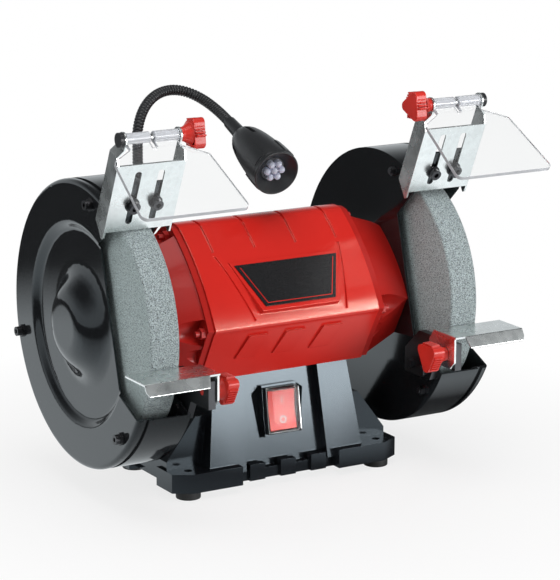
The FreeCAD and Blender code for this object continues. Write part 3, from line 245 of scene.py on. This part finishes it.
def copy_of(node, name):
    pick(frame["nodes"][node])
    bpy.ops.object.duplicate()
    piece = bpy.context.object
    bpy.ops.object.parent_clear(type="CLEAR_KEEP_TRANSFORM")
    piece.name = name
    piece.data.name = name
    for key in list(piece.keys()):
        del piece[key]
    bpy.ops.mesh.customdata_custom_splitnormals_clear()
    editing(piece)
    bpy.ops.mesh.remove_doubles(threshold=MERGE)
    bpy.ops.mesh.dissolve_limited(angle_limit=FLAT)
    done()
    return piece


# Shader arithmetic on sockets
class Wire:
    def __init__(self, tree, socket):
        self.tree = tree
        self.socket = socket

    def node(self, kind, settings=None, sockets=None, out=0):
        node = self.tree.nodes.new("ShaderNode" + kind)
        for key, value in (settings or {}).items():
            setattr(node, key, value)
        for key, value in (sockets or {}).items():
            if isinstance(value, Wire):
                self.tree.links.new(value.socket, node.inputs[key])
            else:
                node.inputs[key].default_value = value
        return Wire(self.tree, node.outputs[out])

    def math(self, operation, a, b):
        return self.node("Math", {"operation": operation}, {0: a, 1: b})

    def __add__(self, other):
        return self.math("ADD", self, other)

    def __radd__(self, other):
        return self.math("ADD", other, self)

    def __rsub__(self, other):
        return self.math("SUBTRACT", other, self)

    def __mul__(self, other):
        return self.math("MULTIPLY", self, other)

    def __rmul__(self, other):
        return self.math("MULTIPLY", other, self)

    def __gt__(self, other):
        return self.math("GREATER_THAN", self, other)

    def noise(self, scale, detail=3.0, roughness=0.5):
        sockets = {"Vector": self, "Scale": scale, "Detail": detail, "Roughness": roughness}
        return self.node("TexNoise", None, sockets)

    def grains(self, scale):
        return self.node("TexVoronoi", None, {"Vector": self, "Scale": scale})

    def moved(self, by, scale=(1.0, 1.0, 1.0)):
        return self.node("Mapping", None, {"Vector": self, "Location": by, "Scale": scale})

    def length(self):
        return self.node("VectorMath", {"operation": "LENGTH"}, {0: self}, out=1)

    def spread(self, low, high, to_low=0.0, to_high=1.0):
        sockets = {0: self, 1: low, 2: high, 3: to_low, 4: to_high}
        return self.node("MapRange", {"clamp": True}, sockets)

    def between(self, first, second):
        sockets = {0: self, 6: first, 7: second}
        return self.node("Mix", {"data_type": "RGBA"}, sockets, out=2)

    def bump(self, strength, distance):
        return self.node("Bump", None, {"Height": self, "Strength": strength, "Distance": distance})


class Finish:
    def __init__(self, name, **uniform):
        self.material = bpy.data.materials.new(name)
        self.material.use_nodes = True
        self.tree = self.material.node_tree
        self.shader = self.tree.nodes["Principled BSDF"]
        for key, value in uniform.items():
            self.shader.inputs[key.replace("_", " ").title().replace("Ior", "IOR")].default_value = value
        coords = self.tree.nodes.new("ShaderNodeTexCoord")
        self.place = Wire(self.tree, coords.outputs["Object"])

    def feed(self, **wires):
        for key, value in wires.items():
            self.tree.links.new(value.socket, self.shader.inputs[key.replace("_", " ").title()])
        return self.material


def shade(colour, factor):
    return tuple(min(1.0, c * factor) for c in colour) + (1.0,)


def shades(colour, low, high):
    return shade(colour, low), shade(colour, high)


MIDDLE = (0.3, 0.7)

# Paint: a base colour with faint mottling, a soft orange peel, and a roughness that drifts
PAINT_CLOUD = 9.0
PAINT_TONES = (0.94, 1.06)
PAINT_DRIFT = 30.0
PEEL_T = 0.0004


def paint(name, colour, roughness, drift, peel_scale, peel, **uniform):
    finish = Finish(name, **uniform)
    cloud = finish.place.noise(PAINT_CLOUD, 1.0)
    tone = cloud.between(*shades(colour, *PAINT_TONES))
    gloss = roughness - drift + 2 * drift * finish.place.noise(PAINT_DRIFT, 1.0)
    grain = finish.place.noise(peel_scale, 1.0).bump(peel, PEEL_T)
    return finish.feed(base_color=tone, roughness=gloss, normal=grain)


# Moulded plastic and rubber: a clouded colour and a pitted skin
MOULD_CLOUD = 35.0
MOULD_TONES = (0.88, 1.1)
MOULD_DULLER = 0.06
MOULD_GLOSSIER = 0.04
PIT_REACH = 0.7
PIT_T = 0.0003


def moulding(name, colour, roughness, grain_scale, grain):
    finish = Finish(name)
    tone = finish.place.noise(MOULD_CLOUD).spread(*MIDDLE).between(*shades(colour, *MOULD_TONES))
    pits = finish.place.grains(grain_scale)
    gloss = pits.spread(0.0, PIT_REACH, roughness + MOULD_DULLER, roughness - MOULD_GLOSSIER)
    return finish.feed(base_color=tone, roughness=gloss, normal=pits.bump(grain, PIT_T))


# Bare metal: spangle and cloud in the colour, fine rub marks
METAL_CLOUD = 70.0
METAL_TONES = (0.93, 1.06)
METAL_GLOSSIER = 0.05
METAL_DULLER = 0.06
SPANGLE_SPREAD = (0.1, 0.6)
RUB_FINER = 4
RUB_T = 0.0002


def sheet_metal(name, colour, roughness, spangle_scale, scratch):
    finish = Finish(name, metallic=1.0)
    spangle = finish.place.grains(spangle_scale)
    cloud = finish.place.noise(METAL_CLOUD, 2.0)
    tone = (0.5 * spangle + 0.5 * cloud).spread(*SPANGLE_SPREAD).between(*shades(colour, *METAL_TONES))
    gloss = cloud.spread(0.25, 0.75, roughness - METAL_GLOSSIER, roughness + METAL_DULLER)
    rub = finish.place.noise(spangle_scale * RUB_FINER, 2.0)
    return finish.feed(base_color=tone, roughness=gloss, normal=rub.bump(scratch, RUB_T))


# Grinding stone: coarse and fine grit, with one colour on the rim and another on the faces
GRIT_COARSE = 760.0
GRIT_FINE = 1500.0
GRIT_SPREAD = (0.34, 0.66)
GRIT_PALE = 1.75
FACE_DARK = 1.15
RIM_DARK = 0.75
SPECK_DARK = 0.25
SPECK_PALE = 2.0
SPECK_LOW = (0.36, 0.44)
SPECK_HIGH = (0.58, 0.66)
STONE_GLOSS = (0.75, 0.95)
GRIT_BUMP = (0.6, 0.0006)


def stone(name, colour, face_colour):
    finish = Finish(name)
    coarse = finish.place.noise(GRIT_COARSE, 2.0, 0.7)
    fine = finish.place.noise(GRIT_FINE, 1.0)
    reach = finish.place.moved((0.0, 0.0, -SHAFT_Z), (0.0, 1.0, 1.0)).length()
    rim = reach.spread(STONE_R - STONE_CORNER[0], STONE_R - STONE_CORNER[1])
    ground = rim.between(shade(face_colour, GRIT_PALE), shade(colour, GRIT_PALE))
    shadow = rim.between(shade(face_colour, FACE_DARK), shade(colour, RIM_DARK))
    body = coarse.spread(*GRIT_SPREAD).between(shadow, ground)
    dark = fine.spread(*SPECK_LOW, 1.0, 0.0)
    pale = fine.spread(*SPECK_HIGH)
    tone = dark.between(body, shade(colour, SPECK_DARK))
    tone = pale.between(tone, shade(colour, SPECK_PALE))
    gloss = coarse.spread(*MIDDLE, *STONE_GLOSS)
    return finish.feed(base_color=tone, roughness=gloss, normal=(coarse + fine).bump(*GRIT_BUMP))


# Clear plastic: a faint haze in the colour and the gloss
HAZE_CLOUD = 25.0
HAZE_TONES = (0.99, 1.0)
HAZE_DULLER = 0.02
ACRYLIC = 1.49
THIN_COVER = 1.17


def clear(name, colour, roughness, through=1.0, ior=ACRYLIC):
    finish = Finish(name, transmission_weight=through, ior=ior)
    haze = finish.place.noise(HAZE_CLOUD)
    tone = haze.spread(*MIDDLE).between(*shades(colour, *HAZE_TONES))
    gloss = haze.spread(0.35, 0.65, roughness, roughness + HAZE_DULLER)
    return finish.feed(base_color=tone, roughness=gloss)


RED = (0.66, 0.022, 0.016)
FINISHES = {
    "red_paint": paint("red_paint", RED, 0.16, 0.02, 700.0, 0.04, specular_tint=(1.0, 0.94, 0.78, 1.0)),
    # Darker, less glossy copy of the red paint for the end bells: painted shade, as the bells sit in the shade of
    # the wheels and guards
    "red_bell_painted_shade": paint("red_bell_painted_shade", (0.46, 0.017, 0.013), 0.24, 0.02, 700.0, 0.04, specular_ior_level=0.25),
    "red_fasteners": paint("red_fasteners", (0.48, 0.02, 0.017), 0.36, 0.05, 700.0, 0.08),
    "black_gloss": paint("black_gloss", (0.008, 0.0085, 0.0095), 0.10, 0.03, 500.0, 0.05,
                         specular_tint=(0.86, 0.95, 1.0, 1.0), specular_ior_level=0.68),
    "black_enamel": paint("black_enamel", (0.009, 0.0100, 0.0122), 0.14, 0.02, 900.0, 0.03,
                          specular_tint=(0.76, 0.90, 1.0, 1.0), specular_ior_level=0.60),
    "black_steel": sheet_metal("black_steel", (0.08, 0.08, 0.085), 0.38, 700.0, 0.1),
    "black_plastic": moulding("black_plastic", (0.022, 0.023, 0.025), 0.36, 1800.0, 0.10),
    "galvanised": sheet_metal("galvanised", (0.84, 0.86, 0.85), 0.26, 190.0, 0.015),
    "steel": sheet_metal("steel", (0.62, 0.62, 0.62), 0.22, 900.0, 0.03),
    "core_steel": sheet_metal("core_steel", (0.25, 0.25, 0.26), 0.45, 900.0, 0.15),
    "copper": sheet_metal("copper", (0.62, 0.28, 0.12), 0.35, 1200.0, 0.2),
    "clear_plastic": clear("clear_plastic", (0.975, 0.985, 0.985), 0.0),
    "clear_cover": clear("clear_cover", (0.97, 0.98, 0.98), 0.03, ior=THIN_COVER),
    "clear_edge": clear("clear_edge", (0.84, 0.86, 0.90), 0.14, through=0.45),
    "red_plastic": moulding("red_plastic", (0.64, 0.030, 0.020), 0.33, 1500.0, 0.06),
    "grey_stone": stone("grey_stone", (0.275, 0.320, 0.326), (0.285, 0.342, 0.342)),
    "rubber": moulding("rubber", (0.015, 0.015, 0.015), 0.6, 1200.0, 0.2),
    "badge_black": moulding("badge_black", (0.010, 0.010, 0.011), 0.3, 2500.0, 0.04),
    "capacitor_can": moulding("capacitor_can", (0.6, 0.6, 0.58), 0.4, 900.0, 0.1),
    "led_board": moulding("led_board", (0.05, 0.05, 0.055), 0.4, 1500.0, 0.1),
    "led_lens": clear("led_lens", (0.80, 0.83, 0.98), 0.05, through=0.30),
}
for node, piece in frame["nodes"].items():
    piece.data.materials.clear()
    piece.data.materials.append(FINISHES[SLOT_OF[node]])


# CAD pieces whose edges are rounded as on the real casting, pressing or moulding.
# The housing's fine grooves would hold its rounding back, so it is rounded without clamping.
GROOVED = ("motor_housing",)
EDGE_ROUNDS = {"motor_housing": 0.0006, "base_pedestal": 0.0012, "lamp_socket": 0.0015, "switch_bezel": 0.0008,
               "splash_cover": 0.0006, "switch_rocker": 0.0005, "rubber_feet": 0.0008, "badge_plate": 0.0003}
SIDE_ROUNDS = {"end_bell": 0.0008, "outer_cover": 0.00035, "inner_guard": 0.0004, "spark_guard": 0.0004,
               "tool_rest": 0.0005, "rest_arm": 0.0006, "shield_knob": 0.0009, "rest_knob": 0.0009,
               "eye_shield": 0.0005, "grinding_wheel": 0.0006}


def soften(node, width):
    piece = copy_of(node, node + "_dressed")
    rounded(piece, width, clamp=node not in GROOVED)
    return placed(piece, BODY_OF[node], SLOT_OF[node], node)


def repaint(piece, finish):
    piece.data.materials[0] = FINISHES[finish]


DRESSED = {}
for node, width in EDGE_ROUNDS.items():
    DRESSED[node] = soften(node, width)
for node, width in SIDE_ROUNDS.items():
    for side in AWAY:
        DRESSED[side + "_" + node] = soften(side + "_" + node, width)
repaint(DRESSED["base_pedestal"], "black_enamel")
repaint(DRESSED["splash_cover"], "clear_cover")
# Painted shade: the end bells take the darker copy of the red paint
for side in AWAY:
    repaint(DRESSED[side + "_end_bell"], "red_bell_painted_shade")


# The hinge screw through each shield knob is bare steel
for side, away in AWAY.items():
    piece = DRESSED[side + "_shield_knob"]
    low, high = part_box(side + "_hinge_cap")
    pin_y, pin_z = (low[1] + high[1]) / 2, (low[2] + high[2]) / 2
    piece.data.materials.append(FINISHES["steel"])
    for face in piece.data.polygons:
        off_axis = math.hypot(face.center.y - pin_y, face.center.z - pin_z)
        if off_axis < PIN_R and away * face.center.x > HUB_X:
            face.material_index = 1


# Cut edges and hinge barrels of the shields scatter the light and look pale
for side in AWAY:
    piece = DRESSED[side + "_eye_shield"]
    pane = max(piece.data.polygons, key=lambda face: face.area)
    piece.data.materials.append(FINISHES["clear_edge"])
    for face in piece.data.polygons:
        level = abs((face.center - pane.center).dot(pane.normal)) < PANE_T
        flat = abs(face.normal.dot(pane.normal)) > PANE_FLAT
        if not (level and flat):
            face.material_index = 1


# Knob ribs: one grip rib, set out along a flank, then turned round the knob
def knob_ribs(side, knob, corner):
    node = side + knob
    hinge = HINGE_AT[node + "_turn"]
    low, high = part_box(node)
    end = min(abs(low[0]), abs(high[0]))
    axis = Vector((AWAY[side] * (end + KNOB_HEAD_L / 2), hinge[1], hinge[2]))
    piece = added(node + "_ribs", bpy.ops.mesh.primitive_cube_add, size=1.0,
                  location=axis + Vector((0, -RIB_SPAN / 2, FLANK)))
    piece.scale = RIB_SIZE
    settled(piece)
    rounded(piece, RIB_EDGE)
    applied(piece, "ARRAY", count=RIB_COUNT, use_relative_offset=False, use_constant_offset=True,
            constant_offset_displace=(0, RIB_SPAN / (RIB_COUNT - 1), 0))
    editing(piece)
    bpy.ops.transform.rotate(value=math.radians(LOBE_TURN / 2 + corner), orient_axis="X", center_override=axis)
    for _ in range(KNOB_LOBES - 1):
        bpy.ops.mesh.duplicate()
        bpy.ops.transform.rotate(value=math.radians(LOBE_TURN), orient_axis="X", center_override=axis)
    done()
    return placed(piece, BODY_OF[node], SLOT_OF[node])


for side in AWAY:
    knob_ribs(side, "_shield_knob", 0.0)
    knob_ribs(side, "_rest_knob", 180.0)


# Gooseneck: one rib, repeated and laid along the neck's centre line
def neck_curve():
    bpy.ops.object.select_all(action="DESELECT")
    bpy.ops.curve.primitive_bezier_curve_add()
    curve = bpy.context.object
    curve.data.resolution_u = NECK_STEPS
    spline = curve.data.splines[0]
    spline.bezier_points.add(1)
    third = (NECK_BEND - NECK_FOOT) / 3
    reach = LAMP_AXIS * NECK_REACH
    stations = ((NECK_FOOT, NECK_FOOT - third, NECK_FOOT + third),
                (NECK_BEND, NECK_BEND - third, NECK_BEND + Vector((0, 0, NECK_RISE))),
                (LAMP_NECK_END, LAMP_NECK_END - reach, LAMP_NECK_END + reach))
    for point, (at, before, after) in zip(spline.bezier_points, stations):
        point.handle_left_type = point.handle_right_type = "FREE"
        point.co, point.handle_left, point.handle_right = at, before, after
    return curve, spline.calc_length()


def neck_skin(name, curve, first, last):
    count = round((last - first) / NECK_PITCH)
    pitch = (last - first) / count
    middle = (first + pitch / 2, 0, 0)
    piece = added(name, bpy.ops.mesh.primitive_cylinder_add, vertices=NECK_SIDES, radius=NECK_ROOT_R, depth=pitch,
                  end_fill_type="NOTHING", location=middle, rotation=(0, math.pi / 2, 0))
    settled(piece)
    editing(piece)
    for share in NECK_RIB_CUTS:
        bpy.ops.mesh.select_all(action="SELECT")
        bpy.ops.mesh.bisect(plane_co=(first + pitch * share, 0, 0), plane_no=(1, 0, 0))
    bpy.ops.mesh.select_mode(type="VERT")
    bpy.ops.mesh.select_all(action="DESELECT")
    done()
    low, high = NECK_RIB_SPAN
    for vertex in piece.data.vertices:
        vertex.select = pitch * low < vertex.co.x - first < pitch * high
    bpy.ops.object.mode_set(mode="EDIT")
    swell = NECK_R / NECK_ROOT_R
    bpy.ops.transform.resize(value=(1.0, swell, swell), center_override=middle)
    done()
    applied(piece, "ARRAY", count=count, use_relative_offset=False, use_constant_offset=True,
            constant_offset_displace=(pitch, 0, 0), use_merge_vertices=True, merge_threshold=NECK_MERGE)
    applied(piece, "CURVE", object=curve, deform_axis="POS_X")
    editing(piece, "DESELECT")
    bpy.ops.mesh.select_non_manifold()
    bpy.ops.mesh.edge_face_add()
    bpy.ops.mesh.select_all(action="SELECT")
    bpy.ops.mesh.normals_make_consistent(inside=False)
    done()
    smooth(piece, NECK_CREASED)
    return piece


curve, neck_length = neck_curve()
split = neck_length - NECK_UPPER
neck_lower = neck_skin("gooseneck_lower_skin", curve, 0.0, split)
neck_upper = neck_skin("gooseneck_upper_skin", curve, split, neck_length)
bpy.data.objects.remove(curve)
placed(neck_lower, "lamp_neck", "black_plastic", "gooseneck_lower")

# The upper length takes the black plastic and stays where it lies, its CAD node hidden; its end farthest from the
# lamp rim is found but not used
neck_upper.data.materials.append(FINISHES["black_plastic"])
places = [vertex.co.copy() for vertex in neck_upper.data.vertices]
upper_start = max(places, key=lambda at: (at - LAMP_RIM).length)
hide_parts("gooseneck_upper")
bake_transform(neck_upper)


# Lamp head: rings drawn out of one circle, from the neck to the rim and back into the cup
def drawn_out(name, rings, sides):
    piece = added(name, bpy.ops.mesh.primitive_circle_add, vertices=sides, radius=rings[0][1], fill_type="NGON",
                  location=(0, 0, 0))
    editing(piece)
    for (z0, r0), (z1, r1) in zip(rings, rings[1:]):
        bpy.ops.mesh.extrude_region_move(TRANSFORM_OT_translate={"value": (0, 0, z1 - z0)})
        bpy.ops.transform.resize(value=(r1 / r0, r1 / r0, 1.0), center_override=(0, 0, z1))
    bpy.ops.mesh.select_all(action="SELECT")
    bpy.ops.mesh.normals_make_consistent(inside=False)
    done()
    return piece


def lamp_head():
    piece = drawn_out("lamp_head_shell", LAMP_RINGS, LAMP_SIDES)

    def step_round(centre):
        return int(LAMP_SIDES * (math.atan2(centre.y, centre.x) / (2 * math.pi) % 1.0))

    def in_slot(centre):
        low, high = LAMP_SLOT_ZONE
        return low < centre.z < high and step_round(centre) % LAMP_SLOT_STEP in LAMP_SLOT_SPAN

    def in_pad(centre):
        low, high = LAMP_PAD_ZONE
        outside = math.hypot(centre.x, centre.y) > LAMP_CUP_R
        return low < centre.z < high and outside and step_round(centre) % LAMP_PAD_STEP in LAMP_PAD_SPAN

    for chosen, rise in ((in_slot, -LAMP_SLOT_DEPTH), (in_pad, LAMP_PAD_RISE)):
        choose_faces(piece, chosen)
        bpy.ops.mesh.extrude_region_shrink_fatten(TRANSFORM_OT_shrink_fatten={"value": rise})
        done()
    rounded(piece, LAMP_EDGE)
    turn = Vector((0, 0, 1)).rotation_difference(LAMP_AXIS).to_matrix().to_4x4()
    piece.matrix_world = Matrix.Translation(LAMP_NECK_END) @ turn
    return placed(piece, "lamp", "black_plastic", "lamp_head")


lamp_head()


# Badge: a thin red line along three sides of the plain plate
def facet_point(x, up, out):
    return CREASE + Vector((x, 0, 0)) + FACET_UP * up + FACET_OUT * out


def badge_line():
    piece = added("badge_line", bpy.ops.mesh.primitive_plane_add, size=1.0)
    low, high = BADGE_LOW + BADGE_MARGIN, BADGE_HIGH - BADGE_MARGIN
    low_half, high_half = BADGE_LOW_HALF - BADGE_MARGIN, BADGE_HIGH_HALF - BADGE_HIGH_MARGIN
    corners = ((-low_half, low), (low_half, low), (-high_half, high), (high_half, high))
    for vertex, (x, up) in zip(piece.data.vertices, corners):
        vertex.co = facet_point(BADGE_X + x, up, BADGE_FACE)
    editing(piece)
    bpy.ops.mesh.inset(thickness=BADGE_LINE_W, depth=0.0)
    bpy.ops.mesh.delete(type="FACE")
    done()
    top = facet_point(BADGE_X, high, BADGE_FACE)
    choose_faces(piece, lambda centre: (centre - top).length < 2 * BADGE_LINE_W)
    bpy.ops.mesh.delete(type="FACE")
    done()
    applied(piece, "SOLIDIFY", thickness=BADGE_LINE_T, offset=1.0)
    smooth(piece)
    return placed(piece, "root", "red_paint")


badge_line()


# Switch marks: a bar for on above a ring for off
def switch_mark(name, above):
    low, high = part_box("switch_rocker")
    middle = (low[2] + high[2]) / 2
    paddle = [face for face in DRESSED["switch_rocker"].data.polygons
              if face.normal.y < PADDLE_FACING and (face.center.z > middle) == above]
    face = max(paddle, key=lambda face: face.area)
    centre, out = face.center.copy(), face.normal.copy()
    if above:
        piece = added(name, bpy.ops.mesh.primitive_plane_add, size=1.0)
        piece.scale = (MARK_W, MARK_H, 1.0)
        settled(piece)
    else:
        piece = added(name, bpy.ops.mesh.primitive_circle_add, vertices=MARK_SIDES, radius=MARK_H / 2,
                      fill_type="NGON")
        editing(piece)
        bpy.ops.mesh.inset(thickness=MARK_W, depth=0.0)
        bpy.ops.mesh.delete(type="FACE")
        done()
    applied(piece, "SOLIDIFY", thickness=MARK_T, offset=1.0)
    rounded(piece, MARK_EDGE)
    across = Vector((1, 0, 0))
    turn = Matrix((across, out.cross(across), out)).transposed()
    piece.matrix_world = Matrix.Translation(centre + out * MARK_LIFT) @ turn.to_4x4()
    return placed(piece, "rocker", "capacitor_can")


switch_mark("switch_on_bar", True)
switch_mark("switch_off_ring", False)


# Camera
bpy.ops.object.select_all(action="DESELECT")
bpy.ops.object.camera_add()
camera = bpy.context.object
up = CAMERA_BACK.cross(CAMERA_RIGHT).normalized()
turn = Matrix((CAMERA_RIGHT.normalized(), up, CAMERA_BACK.normalized())).transposed()
camera.matrix_world = Matrix.Translation(CAMERA_AT) @ turn.to_4x4()
camera.data.lens = CAMERA_LENS
camera.data.sensor_width = CAMERA_SENSOR
camera.data.shift_x, camera.data.shift_y = CAMERA_SHIFT
camera.data.clip_start = CAMERA_NEAR
bpy.context.scene.camera = camera
bpy.context.scene.view_settings.view_transform = "Standard"

# Floor: pale, fading to white away from the part, and seen in gloss as two bright pools.
# A pool is the shift that brings its centre to the origin, then where its edge starts and ends.
BLACK = (0.0, 0.0, 0.0, 1.0)
WHITE = (1.0, 1.0, 1.0, 1.0)
FLOOR_R = 4.0
FLOOR_SIDES = 96
FLOOR_PALE = (0.82, 0.82, 0.82, 1.0)
FLOOR_DULL = 0.7
FLOOR_FADE = (0.15, 0.42, 0.78, 1.0)
POOL_GLOW = (1.02, 1.08, 1.11, 1.0)
POOL_BEHIND = ((0.30, -0.28, 0.0), 0.25, 0.5)
POOL_FRONT = ((-0.17, 0.47, 0.0), 0.36, 0.41)
POOL_BEYOND = 0.03


def ray_kinds(tree):
    path = tree.nodes.new("ShaderNodeLightPath").outputs
    passing = Wire(tree, path["Is Transmission Ray"])
    seen = Wire(tree, path["Is Camera Ray"]) + passing
    return seen, passing, Wire(tree, path["Is Glossy Ray"])


def floor_finish():
    finish = Finish("pale_floor", base_color=FLOOR_PALE, roughness=FLOOR_DULL)
    tree, place = finish.tree, finish.place
    seen, passing, glossy = ray_kinds(tree)

    def pool(at, near, far):
        return place.moved(at).length().spread(near, far, 1.0, POOL_BEYOND)

    glow = pool(*POOL_BEHIND) + pool(*POOL_FRONT)
    mirror = place.node("Emission", None, {"Color": glow.between(BLACK, POOL_GLOW)})
    white = place.node("Emission", None, {"Color": WHITE})
    plain = Wire(tree, finish.shader.outputs[0])
    fade = place.length().spread(*FLOOR_FADE)
    shown = place.node("MixShader", None, {0: seen * fade, 1: plain, 2: white})
    both = place.node("MixShader", None, {0: glossy * (1 - passing), 1: shown, 2: mirror})
    tree.links.new(both.socket, tree.nodes["Material Output"].inputs["Surface"])
    return finish.material


floor = added("floor", bpy.ops.mesh.primitive_circle_add, vertices=FLOOR_SIDES, radius=FLOOR_R, fill_type="NGON")
floor.data.materials.append(floor_finish())

# Surroundings: white to the eye, a dim even light, and a sheen near the horizon in gloss
AMBIENT = (0.23, 0.23, 0.23, 1.0)
SHEEN = (0.95, 1.0, 1.03, 1.0)
SHEEN_BAND = (0.25, 0.6, 0.75, 0.10)


def studio_world():
    world = bpy.data.worlds.new("studio")
    bpy.context.scene.world = world
    world.use_nodes = True
    tree = world.node_tree
    look = Wire(tree, tree.nodes.new("ShaderNodeTexCoord").outputs["Generated"])
    height = look.node("SeparateXYZ", None, {0: look}, out=2)
    seen, _, glossy = ray_kinds(tree)
    ambient = glossy.between(AMBIENT, BLACK)
    sheen = (glossy * height.spread(*SHEEN_BAND)).between(BLACK, SHEEN)
    both = ambient.node("Mix", {"data_type": "RGBA", "blend_type": "ADD"}, {0: 1.0, 6: ambient, 7: sheen}, out=2)
    shown = (seen > 0.5).between(both, WHITE)
    tree.links.new(shown.socket, tree.nodes["Background"].inputs["Color"])


studio_world()

# Lights, in metres and watts
CENTRE = (0.0, 0.0, 0.15)
FRONT_AIM = (0.0, 0.0, 0.355)


def softbox(name, at, toward, width, height, power, mirrored=True):
    lamp = added(name, bpy.ops.object.light_add, type="AREA", location=at)
    lamp.data.shape = "RECTANGLE"
    lamp.data.size = width
    lamp.data.size_y = height
    lamp.data.energy = power
    lamp.visible_glossy = mirrored
    aim = Vector(toward) - Vector(at)
    lamp.matrix_world = Matrix.Translation(at) @ aim.to_track_quat("-Z", "Y").to_matrix().to_4x4()
    return lamp


softbox("softbox_front_right", (1.0, -1.72, 0.355), FRONT_AIM, 0.9, 0.7, 20.0)
softbox("softbox_top", (-0.2, -0.4, 1.9), CENTRE, 1.4, 1.2, 15.0)
softbox("softbox_left", (-1.9, -0.6, 0.9), CENTRE, 0.8, 1.2, 12.0, mirrored=False)

# A strip that only draws the highlight along the red housing's crease
crease_strip = softbox("crease_strip", (1.10, -1.55, 1.09), CENTRE, 0.9, 0.12, 15.0)
crease_strip.visible_diffuse = False
red_casting = bpy.data.collections.new("red_casting")
red_casting.objects.link(DRESSED["motor_housing"])
crease_strip.light_linking.receiver_collection = red_casting
